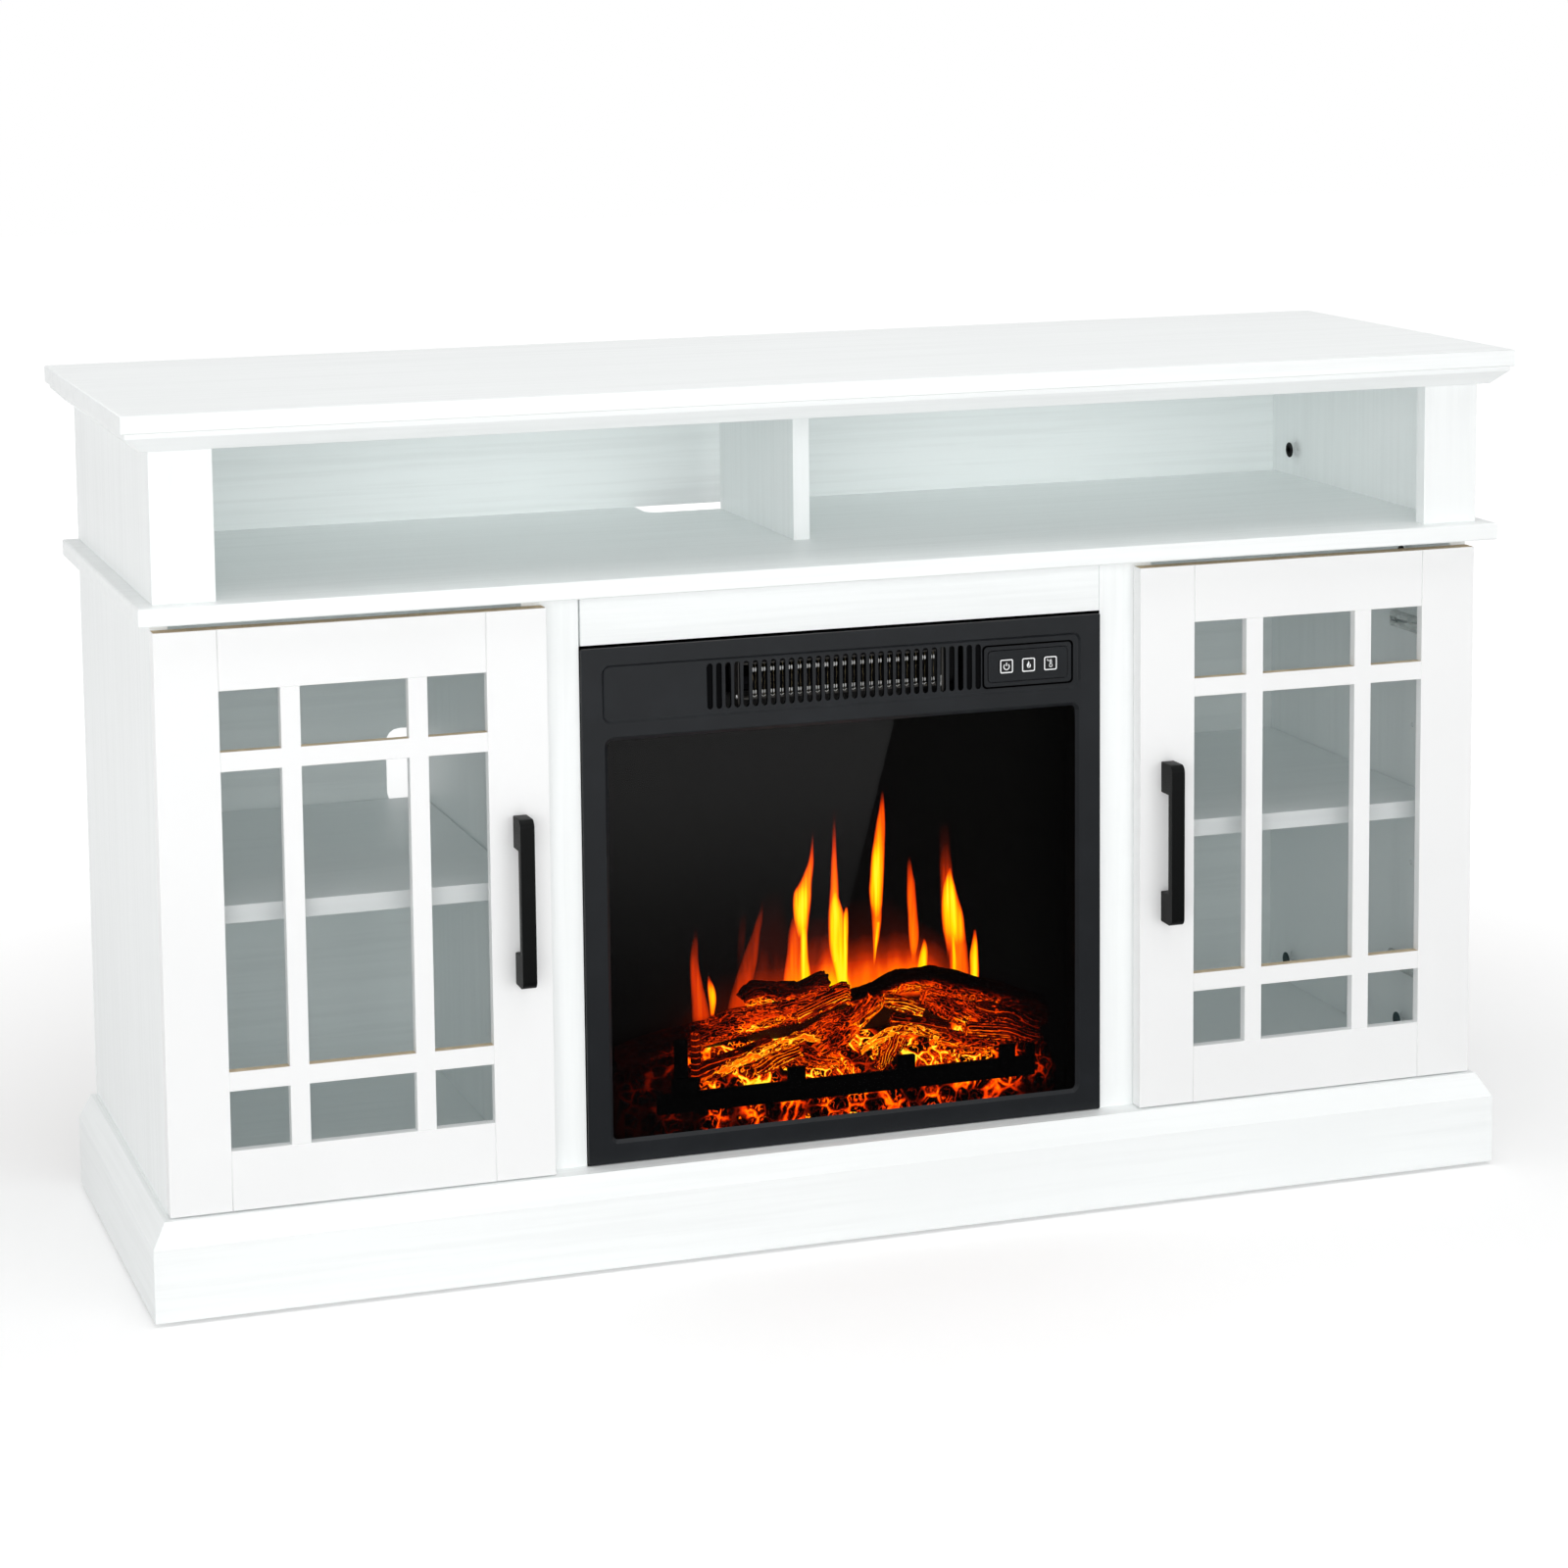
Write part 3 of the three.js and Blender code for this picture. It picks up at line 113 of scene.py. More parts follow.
class Graph:
    """A node tree whose nodes are added one at a time."""

    def __init__(self, tree):
        self.tree = tree
        tree.nodes.clear()

    def node(self, kind, settings=None, values=None, output=0):
        """Adds one node: settings first, then socket values or links; gives back its output."""
        made = self.tree.nodes.new(kind)
        for key, value in (settings or {}).items():
            if key == "stops":
                self.fill_ramp(made.color_ramp, value)
            elif key == "interpolation":
                made.color_ramp.interpolation = value
            else:
                setattr(made, key, value)
        for key, value in (values or {}).items():
            if isinstance(value, Signal):
                self.tree.links.new(value.socket, made.inputs[key])
            else:
                made.inputs[key].default_value = value
        if isinstance(output, tuple):
            return tuple(Signal(self, made.outputs[each]) for each in output)
        if output is None:
            return made
        return Signal(self, made.outputs[output])

    @staticmethod
    def fill_ramp(ramp, stops):
        while len(ramp.elements) < len(stops):
            ramp.elements.new(1)
        for element, (place, colour) in zip(ramp.elements, stops):
            element.position = place
            element.color = (*colour, 1)

    def calc(self, operation, *values):
        return self.node("ShaderNodeMath", {"operation": operation}, dict(enumerate(values)))

    def vector(self, operation, *values):
        return self.node("ShaderNodeVectorMath", {"operation": operation}, dict(enumerate(values)))

    def larger(self, first, *others):
        """The greatest of some signals."""
        for other in others:
            first = self.calc("MAXIMUM", first, other)
        return first


class Finish(Graph):
    """A material's node tree."""

    def __init__(self, name):
        self.material = bpy.data.materials.new(name)
        self.material.use_nodes = True
        super().__init__(self.material.node_tree)

    def place(self, scale=(1, 1, 1), turn=(0, 0, 0), shift=(0, 0, 0)):
        """The piece's own coordinates, stretched and turned."""
        spot = self.node("ShaderNodeTexCoord", output="Object")
        values = {"Vector": spot, "Scale": scale, "Rotation": turn, "Location": shift}
        return self.node("ShaderNodeMapping", None, values)

    def split(self, vector):
        return self.node("ShaderNodeSeparateXYZ", None, {0: vector}, (0, 1, 2))

    def noise(self, vector, scale, detail=2.0, rough=0.5, warp=0.0):
        values = {
            "Vector": vector,
            "Scale": scale,
            "Detail": detail,
            "Roughness": rough,
            "Distortion": warp,
        }
        return self.node("ShaderNodeTexNoise", None, values)

    def cells(self, vector, scale, feature="F1", output="Distance"):
        values = {"Vector": vector, "Scale": scale}
        return self.node("ShaderNodeTexVoronoi", {"feature": feature}, values, output)

    def step(self, value, start, stop, low=0.0, high=1.0, smooth=True):
        """Carries a value from one span to another and holds it at both ends."""
        settings = {"interpolation_type": "SMOOTHSTEP" if smooth else "LINEAR"}
        values = {0: value, 1: start, 2: stop, 3: low, 4: high}
        return self.node("ShaderNodeMapRange", settings, values)

    def mix(self, low, high, factor):
        values = {0: factor, 6: self.opaque(low), 7: self.opaque(high)}
        return self.node("ShaderNodeMix", {"data_type": "RGBA"}, values, 2)

    def ramp(self, factor, stops, ease="LINEAR"):
        settings = {"stops": stops, "interpolation": ease}
        return self.node("ShaderNodeValToRGB", settings, {0: factor})

    def bump(self, height, distance, strength=1.0):
        values = {"Height": height, "Distance": distance, "Strength": strength}
        return self.node("ShaderNodeBump", None, values)

    @staticmethod
    def opaque(colour):
        return colour if isinstance(colour, Signal) else (*colour[:3], 1)

    def end(self, base, **values):
        """Closes the tree with a plastic, metal or glass surface."""
        names = {key.replace("_", " "): value for key, value in values.items()}
        names["Base Color"] = self.opaque(base)
        if "Emission Color" in names:
            names["Emission Color"] = self.opaque(names["Emission Color"])
        surface = self.node("ShaderNodeBsdfPrincipled", None, names)
        self.node("ShaderNodeOutputMaterial", None, {0: surface}, None)
        return self.material


class Growth(Graph):
    """A geometry tree with named sizes, ending in real faces with a material."""

    KINDS = {
        float: "NodeSocketFloat",
        int: "NodeSocketInt",
        bpy.types.Material: "NodeSocketMaterial",
        bpy.types.Object: "NodeSocketObject",
    }

    def __init__(self, name, sizes):
        tree = bpy.data.node_groups.new(name, "GeometryNodeTree")
        super().__init__(tree)
        face = tree.interface
        face.new_socket("Geometry", in_out="INPUT", socket_type="NodeSocketGeometry")
        for size, value in sizes.items():
            kind = next(self.KINDS[k] for k in self.KINDS if isinstance(value, k))
            face.new_socket(size, in_out="INPUT", socket_type=kind)
        face.new_socket("Geometry", in_out="OUTPUT", socket_type="NodeSocketGeometry")
        self.entry = tree.nodes.new("NodeGroupInput")
        self.sizes = sizes

    def given(self, name):
        return Signal(self, self.entry.outputs[name])

    def end(self, shape):
        real = self.node("GeometryNodeRealizeInstances", None, {0: shape})
        values = {"Geometry": real, "Material": self.given("Material")}
        painted = self.node("GeometryNodeSetMaterial", None, values)
        self.node("NodeGroupOutput", None, {0: painted}, None)

    def grow(self, name, base=None):
        """Runs the tree on a mesh and gives back a plain mesh."""
        carrier = placed(name, base or bpy.data.meshes.new(name))
        modifier = carrier.modifiers.new(name, "NODES")
        modifier.node_group = self.tree
        for socket in self.tree.interface.items_tree:
            if socket.in_out == "INPUT" and socket.name in self.sizes:
                modifier[socket.identifier] = self.sizes[socket.name]
        graph = bpy.context.evaluated_depsgraph_get()
        mesh = bpy.data.meshes.new_from_object(carrier.evaluated_get(graph), depsgraph=graph)
        carrier.modifiers.remove(modifier)
        bpy.data.objects.remove(carrier)
        mesh.name = name
        return mesh


# Meshes


def as_mesh(shape, name):
    mesh = bpy.data.meshes.new(name)
    shape.normal_update()
    shape.to_mesh(mesh)
    shape.free()
    return mesh


def outward(shape):
    """Turns every face of a closed shape to the outside."""
    bmesh.ops.recalc_face_normals(shape, faces=shape.faces)


def placed(name, data):
    """Puts a mesh, lamp or camera in the scene."""
    made = bpy.data.objects.new(name, data)
    bpy.context.scene.collection.objects.link(made)
    return made


def piece(name, mesh, body, materials, replaces=(), smooth=None):
    """Puts a mesh in the scene as a finished piece that rides on a body."""
    made = placed(name, mesh)
    if materials:
        mesh.materials.clear()
        for material in materials:
            mesh.materials.append(material)
    if smooth is not None:
        mesh.polygons.foreach_set("use_smooth", [True] * len(mesh.polygons))
        mesh.set_sharp_from_angle(angle=math.radians(smooth))
    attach(made, body)
    if replaces:
        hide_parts(*replaces)
    return made


def merged(node):
    """A CAD node's shape with its loose triangles joined into flat faces."""
    shape = bmesh.new()
    shape.from_mesh(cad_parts[node].data)
    bmesh.ops.remove_doubles(shape, verts=shape.verts, dist=MERGE)
    flat = math.radians(1)
    bmesh.ops.dissolve_limit(shape, angle_limit=flat, verts=shape.verts, edges=shape.edges)
    return shape


def eased(node, width, least=12 * MM, steps=2, sharp=40):
    """A merged copy of a CAD node whose long sharp edges are rounded over."""
    shape = merged(node)
    limit = math.radians(sharp)
    edges = [
        e
        for e in shape.edges
        if e.is_manifold and e.calc_length() > least and e.calc_face_angle(0) > limit
    ]
    bmesh.ops.bevel(
        shape,
        geom=edges,
        offset=width,
        segments=steps,
        profile=0.5,
        affect="EDGES",
        clamp_overlap=False,
    )
    return as_mesh(shape, node)


def looped(ring):
    """Each item of a closed ring with the one after it."""
    return zip(ring, [*ring[1:], ring[0]])


def band(shape, first, second):
    """Faces between two closed rings of equal count."""
    for (a, b), (c, d) in zip(looped(first), looped(second)):
        shape.faces.new((a, b, d, c))


def circle(shape, radius, height, steps):
    """A level ring of points about the origin."""
    turns = [2 * math.pi * i / steps for i in range(steps)]
    places = [(radius * math.cos(turn), radius * math.sin(turn), height) for turn in turns]
    return [shape.verts.new(place) for place in places]


def turned(profile, steps, place=(0, 0, 0), lying=False):
    """A lathe shape from (radius, height) points in mm, standing or laid towards the back."""
    shape = bmesh.new()
    rings = []
    for radius, height in profile:
        if radius:
            rings.append(circle(shape, radius * MM, height * MM, steps))
        else:
            rings.append([shape.verts.new((0, 0, height * MM))])
    for low, high in zip(rings, rings[1:]):
        if len(low) == 1:
            for a, b in looped(high):
                shape.faces.new((low[0], b, a))
        elif len(high) == 1:
            for a, b in looped(low):
                shape.faces.new((a, b, high[0]))
        else:
            band(shape, low, high)
    outward(shape)
    turn = Matrix.Rotation(-math.pi / 2 if lying else 0, 4, "X")
    bmesh.ops.transform(shape, matrix=Matrix.Translation(place) @ turn, verts=shape.verts)
    return shape


def rounded_outline(half_u, half_v, radius, steps=6):
    """Points round a rectangle with rounded corners, anticlockwise."""
    points = []
    for quarter, (u, v) in enumerate(((1, 1), (-1, 1), (-1, -1), (1, -1))):
        across, up = u * (half_u - radius), v * (half_v - radius)
        for i in range(steps + 1):
            turn = math.pi / 2 * (quarter + i / steps)
            points.append((across + radius * math.cos(turn), up + radius * math.sin(turn)))
    return points


def upright(shape, outline, centre, y):
    """An outline's points in X and Z, at one depth."""
    return [shape.verts.new((centre[0] + u, y, centre[1] + v)) for u, v in outline]


def plate(shape, outline, centre, front, back):
    """A flat plate facing -Y from an outline in X and Z."""
    near, far = [upright(shape, outline, centre, y) for y in (front, back)]
    shape.faces.new(near)
    shape.faces.new(list(reversed(far)))
    band(shape, far, near)


def collar(shape, outer, inner, centre, front, back):
    """A flat ring facing -Y between two outlines of equal count."""
    near_out, near_in, far_out, far_in = [
        upright(shape, outline, centre, y) for y in (front, back) for outline in (outer, inner)
    ]
    band(shape, near_out, near_in)
    band(shape, far_in, far_out)
    band(shape, far_out, near_out)
    band(shape, near_in, far_in)


# Finishes of the boards


def white_foil(name, colour, along):
    """White wood-embossed foil, with a faint grain that runs along one axis."""
    g = Finish(name)
    stretch = [150.0, 150.0, 150.0]
    stretch[along] = 4.0
    streak = g.noise(g.place(stretch), 1.0, 3.0, 0.62)
    fine = [900.0, 900.0, 900.0]
    fine[along] = 40.0
    pore = g.noise(g.place(fine), 1.0, 2.0, 0.5)
    cloud = g.noise(g.place(), 3.0, 2.0)
    base = g.mix(shade(colour, 0.965), colour, g.step(streak, 0.33, 0.6))
    base = g.mix(base, shade(colour, 0.975), g.step(cloud, 0.5, 0.75))
    relief = streak * 0.6 + g.step(pore, 0.36, 0.5) * 0.4
    return g.end(
        base,
        Roughness=g.step(streak, 0.3, 0.7, 0.49, 0.39),
        Normal=g.bump(relief, 0.00012, 0.35),
    )


def door_white(name, colour):
    """Smooth painted fibreboard with a very light orange peel."""
    g = Finish(name)
    peel = g.noise(g.place(), 420.0, 2.0, 0.55)
    cloud = g.noise(g.place(), 4.0, 2.0)
    base = g.mix(colour, shade(colour, 0.98), g.step(cloud, 0.45, 0.7))
    return g.end(
        base,
        Roughness=g.step(peel, 0.35, 0.65, 0.33, 0.4),
        Normal=g.bump(peel, 0.00006, 0.3),
    )


def raw_fibre(name, colour):
    """Sawn edge of fibreboard: short speckled fibres."""
    g = Finish(name)
    speck = g.noise(g.place((600.0, 600.0, 600.0)), 1.0, 4.0, 0.7)
    wide = g.noise(g.place(), 60.0, 3.0)
    base = g.mix(shade(colour, 0.7), colour, g.step(speck, 0.32, 0.6))
    base = g.mix(base, shade(colour, 1.12), g.step(wide, 0.5, 0.7))
    return g.end(base, Roughness=0.85, Normal=g.bump(speck, 0.0001, 0.5))


def back_sheet(name, face, fibre, split):
    """Hardboard: white printed face in front, brown pressed fibre behind."""
    g = Finish(name)
    x, y, z = g.split(g.place())
    streak = g.noise(g.place((4.0, 150.0, 170.0)), 1.0, 3.0, 0.62)
    front = g.mix(shade(face, 0.95), face, g.step(streak, 0.33, 0.6))
    wad = g.noise(g.place((260.0, 260.0, 260.0)), 1.0, 5.0, 0.68, 0.6)
    long = g.noise(g.place((40.0, 40.0, 900.0), (0, 0.5, 0)), 1.0, 3.0, 0.6)
    rear = g.mix(shade(fibre, 0.62), fibre, g.step(wad, 0.3, 0.62))
    rear = g.mix(rear, shade(fibre, 1.25), g.step(long, 0.55, 0.75))
    behind = g.step(y, split - 0.2 * MM, split, smooth=False)
    mesh = g.calc("SINE", x * 2600.0) * g.calc("SINE", z * 2600.0)
    relief = (wad + mesh * 0.3) * behind + streak * (1 - behind) * 0.4
    return g.end(
        g.mix(front, rear, behind),
        Roughness=g.step(behind, 0.0, 1.0, 0.5, 0.82),
        Normal=g.bump(relief, 0.00015, 0.4),
    )


# Finishes of metal, plastic and glass


def powder_coat(name, colour, rough=0.42, grain=1400.0, shine=0.16, box=None):
    """Fine textured paint on metal or moulded plastic; if a box is given, its front edges get a
    painted highlight.
    """
    g = Finish(name)
    grit = g.noise(g.place(), grain, 2.0, 0.6)
    cloud = g.noise(g.place(), 25.0, 3.0)
    base = g.mix(colour, shade(colour, 1.25), g.step(cloud, 0.4, 0.75))
    if box:
        # Painted highlight: the front edges are painted a lighter grey
        edge_highlight = edge_highlight_mask(g, *box) * g.step(cloud, 0.2, 0.5, 0.6, 1.0)
        base = g.mix(base, (0.06, 0.06, 0.06), edge_highlight)
    return g.end(
        base,
        Roughness=g.step(grit, 0.3, 0.7, rough - 0.05, rough + 0.08),
        Specular_IOR_Level=shine,
        Normal=g.bump(grit, 0.00006, 0.5),
    )


def edge_highlight_mask(g, low, high):
    """The front's top and side edges, painted lighter as a highlight where the edge catches the
    light.
    """
    x, y, z = g.split(g.place())
    top = g.step(z, high.z - 0.75 * MM, high.z - 0.35 * MM)
    side = g.step(g.calc("ABSOLUTE", x), high.x - 0.7 * MM, high.x - 0.3 * MM)
    front = 1 - g.step(y, low.y + 0.5 * MM, low.y + 0.9 * MM)
    return g.larger(top, side * 0.5) * front


def plated(name, colour, rough=0.24, along=(500.0, 60.0, 500.0)):
    """Nickel-plated pressed steel with drawn lines and dull patches."""
    g = Finish(name)
    line = g.noise(g.place(along), 1.0, 3.0, 0.6)
    dull = g.noise(g.place(), 90.0, 3.0, 0.6)
    base = g.mix(shade(colour, 0.82), colour, g.step(dull, 0.35, 0.6))
    return g.end(
        base,
        Metallic=1.0,
        Roughness=g.step(line, 0.3, 0.7, rough - 0.06, rough + 0.14),
        Normal=g.bump(line, 0.00003, 0.4),
    )


def zinc_sheet(name, low, high, inside):
    """Spangled zinc sheet outside and matt black paint inside the chamber."""
    g = Finish(name)
    x, y, z = g.split(g.place())
    spangle = g.cells(g.place((1.0, 1.0, 1.0)), 70.0, output="Color")
    tone = g.node("ShaderNodeSeparateColor", None, {0: spangle}, 0)
    smear = g.noise(g.place((8.0, 8.0, 60.0)), 1.0, 4.0, 0.6)
    steel = g.mix((0.36, 0.38, 0.4), (0.62, 0.64, 0.66), tone * 0.7 + smear * 0.3)
    deep, shallow = 1.2 * MM, 0.9 * MM
    outer = g.larger(
        g.step(g.calc("ABSOLUTE", x), high.x - deep, high.x - shallow),
        g.step(y, high.y - deep, high.y - shallow),
        g.step(z, high.z - deep, high.z - shallow),
        1 - g.step(z, low.z + shallow, low.z + deep),
    )
    base = g.mix(inside, steel, outer)
    return g.end(
        base,
        Metallic=outer * 0.9,
        Roughness=g.step(outer, 0.0, 1.0, 0.75, 0.42),
        Normal=g.bump(tone * outer + smear, 0.00005, 0.3),
    )


def clear_pane(name, tint, alpha, rough=0.02, shine=0.5, dust=0.02):
    """Thin glass: mostly see-through, with a wipe of dust."""
    g = Finish(name)
    wipe = g.noise(g.place((12.0, 12.0, 40.0), (0, 0.4, 0)), 1.0, 3.0, 0.6)
    base = g.mix(tint, shade(tint, 1.15), wipe)
    return g.end(
        base,
        Roughness=g.step(wipe, 0.3, 0.7, rough, rough + dust),
        Specular_IOR_Level=shine,
        Alpha=alpha,
    )


def foil_metal(name, colour):
    """Crinkled reflective foil."""
    g = Finish(name)
    crease = g.cells(g.place(), 190.0, "DISTANCE_TO_EDGE")
    wave = g.noise(g.place(), 260.0, 3.0, 0.6)
    base = g.mix(shade(colour, 0.75), colour, wave)
    return g.end(
        base,
        Metallic=1.0,
        Roughness=g.step(wave, 0.3, 0.7, 0.16, 0.3),
        Normal=g.bump(g.step(crease, 0.0, 0.12) + wave, 0.0006, 0.8),
    )


# Finishes of the fire

FIRE_STOPS = (
    (0.0, (0.0, 0.0, 0.0)),
    (0.14, (0.02, 0.001, 0.0)),
    (0.3, (0.2, 0.01, 0.0)),
    (0.44, (0.58, 0.028, 0.0)),
    (0.57, (0.92, 0.085, 0.0)),
    (0.7, (1.0, 0.2, 0.0)),
    (0.82, (1.0, 0.42, 0.0)),
    (0.93, (1.0, 0.72, 0.0)),
    (1.0, (1.0, 0.86, 0.02)),
)
EMBER_STOPS = (
    (0.0, (0.0, 0.0, 0.0)),
    (0.12, (0.006, 0.0002, 0.0)),
    (0.26, (0.09, 0.003, 0.0)),
    (0.42, (0.5, 0.018, 0.0)),
    (0.58, (0.95, 0.06, 0.0)),
    (0.74, (1.0, 0.16, 0.0)),
    (0.88, (1.0, 0.36, 0.002)),
    (1.0, (1.0, 0.66, 0.03)),
)

# Each flame: height in mm, then its middle in mm, its half width in mm and its heat
TONGUES = (
    (
        (180, -114, 8.5, 0.38), (197, -115.5, 7.5, 0.46), (214, -118, 5.6, 0.5),
        (232, -121, 4.2, 0.44), (253, -120, 3.2, 0.2), (264, -119, 1, 0),
    ),
    (
        (187, -105, 1.5, 0.6), (196, -104, 3.2, 0.82), (205, -104, 3.9, 0.88),
        (213, -106, 2.8, 0.78), (222, -107, 0.6, 0),
    ),
    (
        (190, -84, 9, 0.34), (219, -74, 9.2, 0.36), (238, -69.5, 7.6, 0.3), (254, -64, 4.6, 0.28),
        (269, -60, 2.4, 0.24), (284, -57.5, 0.6, 0),
    ),
    (
        (225, -81, 2.5, 0), (240, -79, 3, 0.16), (256, -77, 3.6, 0.18), (272, -75.5, 2.8, 0),
    ),
    (
        (248, -22, 4.6, 0.8), (262, -23.4, 7, 0.97), (276, -22.9, 8.4, 1), (287, -22, 8.4, 0.92),
        (293, -20, 6.6, 0.8), (301, -17.2, 4.8, 0.72), (312, -14.4, 2.9, 0.62),
        (326, -12.4, 1.2, 0.42), (341, -11.4, 0.5, 0),
    ),
    (
        (200, -19, 4.6, 0.9), (222, -20.6, 4.4, 0.95), (236, -21, 3.8, 0.97), (254, -21.2, 4, 0.95),
        (262, -22.5, 2.8, 0.6),
    ),
    (
        (200, -30, 12, 0.56), (223, -29, 9.8, 0.6), (238, -29, 8, 0.58), (254, -29, 6.9, 0.5),
        (266, -29, 3, 0.2),
    ),
    (
        (268, 7, 5, 0.8), (282, 7, 4.6, 0.72), (296, 7, 3.7, 0.64), (310, 7, 2.9, 0.58),
        (324, 7, 2.4, 0.44), (340, 7.2, 2, 0.22), (358, 8, 0.8, 0),
    ),
    (
        (200, 14.4, 5, 0.95), (215, 12.8, 6, 0.97), (230, 10.2, 7.6, 0.99), (250, 9.3, 8.4, 1),
        (265, 8.6, 7.4, 0.98), (277, 7.2, 4.8, 0.92), (286, 7.4, 2.2, 0.7),
    ),
    (
        (200, 15.4, 3.2, 0.95), (230, 16.2, 3.1, 0.97), (254, 16.8, 3, 0.96),
        (265, 17.4, 2.4, 0.88), (271, 18.6, 0.7, 0.3),
    ),
    (
        (222, 7, 1.4, 0.9), (234, 7, 2.4, 1.05), (246, 7.3, 2.6, 1.08), (258, 7, 1.5, 0.9),
    ),
    (
        (256, 44.8, 3, 0.6), (270, 45, 5.9, 0.96), (290, 45.7, 6.9, 1), (312, 47, 6.2, 0.95),
        (325, 48, 5.4, 0.8), (340, 49.2, 4.5, 0.68), (357, 51, 2.4, 0.58), (371, 51.6, 0.8, 0),
    ),
    (
        (220, 43, 0.6, 0.3), (231, 44, 1.8, 0.62), (241, 44.6, 3, 0.66), (256, 44.9, 4.7, 0.68),
        (270, 44.8, 5.6, 0.6),
    ),
    (
        (222, 43.4, 0.8, 0.5), (232, 44.4, 1.4, 0.86), (242, 45.2, 1.6, 0.92), (255, 46.4, 2, 0.85),
    ),
    (
        (222, 80.2, 1.8, 0.3), (229, 80, 4, 0.56), (239, 79.8, 4.9, 0.64), (254, 79.4, 4.8, 0.64),
        (271, 78.6, 4.5, 0.62), (288, 77.7, 3.8, 0.54), (302, 77, 2.6, 0.36), (311, 77, 0.9, 0),
    ),
    (
        (204, 87.6, 4.3, 0.88), (214, 88.2, 4.4, 0.92), (224, 89.4, 3.8, 0.86),
        (231, 89.6, 1.8, 0.6), (236, 89, 0.6, 0),
    ),
    (
        (266, 112, 7.6, 0.4), (281, 111.6, 7.4, 0.48), (294, 110.8, 6.4, 0.38),
        (306, 110.2, 5.8, 0.24), (320, 109.6, 5, 0.14), (336, 108.8, 3.6, 0),
    ),
    (
        (222, 119.6, 9, 0.5), (232, 118.6, 10.4, 0.82), (242, 116.8, 11, 0.97),
        (254, 115.6, 10.6, 1), (267, 113.7, 8.8, 1), (280, 112.9, 6.4, 0.96),
        (289, 113.2, 3.8, 0.85), (298, 114, 1, 0.3),
    ),
    (
        (190, 123, 9, 0.64), (209, 122.3, 8.8, 0.64), (222, 121.2, 9, 0.64),
        (234, 118.8, 9.8, 0.66), (244, 117, 8, 0.5),
    ),
    (
        (192, 118.4, 2, 0.85), (210, 118, 2.1, 0.9), (226, 117.2, 2.2, 0.92), (242, 116, 2.2, 0.85),
    ),
    (
        (188, 135.6, 4, 0.93), (204, 135.8, 4.6, 0.97), (218, 135.8, 4.5, 0.97),
        (229, 136.8, 2.9, 0.86), (240, 137.4, 0.7, 0.2),
    ),
)
HAZE = (
    (
        (190, 56, 70, 0.54), (212, 56, 68, 0.5), (226, 54, 64, 0.35), (238, 50, 58, 0.19),
        (252, 42, 46, 0.09), (276, 32, 24, 0),
    ),
    (
        (190, -4, 30, 0.5), (215, -6, 24, 0.4), (240, -8, 16, 0.2), (264, -8, 8, 0),
    ),
    (
        (186, -50, 30, 0.3), (222, -50, 24, 0.2), (262, -50, 14, 0.06), (290, -48, 8, 0),
    ),
    (
        (186, 0, 135, 0.22), (204, 0, 125, 0.14), (222, 0, 95, 0),
    ),
)
WIDEST = 260.0


def tongue_heat(g, x, z, stops, power):
    """Heat of one flame at a point of the screen, in mm."""
    low = stops[0][0]
    high = stops[-1][0]
    shape = [
        (
            (height - low) / (high - low),
            ((middle + WIDEST) / (2 * WIDEST), math.sqrt(half / WIDEST), heat),
        )
        for height, middle, half, heat in stops
    ]
    share = (z - low) / (high - low)
    curve = g.ramp(share, shape, "B_SPLINE")
    middle, half, heat = g.node("ShaderNodeSeparateColor", None, {0: curve}, (0, 1, 2))
    away = g.calc("ABSOLUTE", x - (middle * (2 * WIDEST) - WIDEST))
    away = g.calc("MINIMUM", away / (half * half * WIDEST), 1.0)
    body = (1 - away ** 3) ** power
    rise = g.step(share, -0.1, 0.04)
    fall = 1 - g.step(share, 0.97, 1.0)
    return body * heat * rise * fall


def flame_screen(name, strength):
    """Translucent sheet with the cast flames standing on it."""
    g = Finish(name)
    x, y, z = g.split(g.place((1000.0, 1000.0, 1000.0)))
    lick = g.noise(g.place((70.0, 1.0, 18.0)), 1.0, 2.0, 0.5)
    streak = g.noise(g.place((330.0, 1.0, 14.0), shift=(3.0, 0.0, 1.0)), 1.0, 2.0, 0.5)
    bent = x + (lick - 0.5) * 4.5
    heat = g.larger(*[tongue_heat(g, bent, z, stops, 0.5) for stops in TONGUES])
    heat = heat * g.step(streak, 0.3, 0.62, 0.86, 1.04)
    first, *others = [tongue_heat(g, x, z, stops, 0.9) for stops in HAZE]
    glow = sum(others, first)
    heat = heat + glow * (0.5 + lick) * (1 - heat)
    return g.end(
        (0.012, 0.009, 0.008),
        Roughness=0.55,
        Emission_Color=g.ramp(heat, FIRE_STOPS),
        Emission_Strength=strength,
    )


def seam_light(g, value, width):
    """One where a value crosses nothing, fading away on both sides."""
    share = value / width
    return g.calc("EXPONENT", 0 - share * share)


def kept_pattern(g):
    """Reads a piece's heat and its three kept values: crack, flake and fill."""
    hot = g.node("ShaderNodeAttribute", {"attribute_name": "hot"}, output="Fac")
    grain = g.node("ShaderNodeAttribute", {"attribute_name": "grain"}, output="Vector")
    return hot, *g.split(grain)


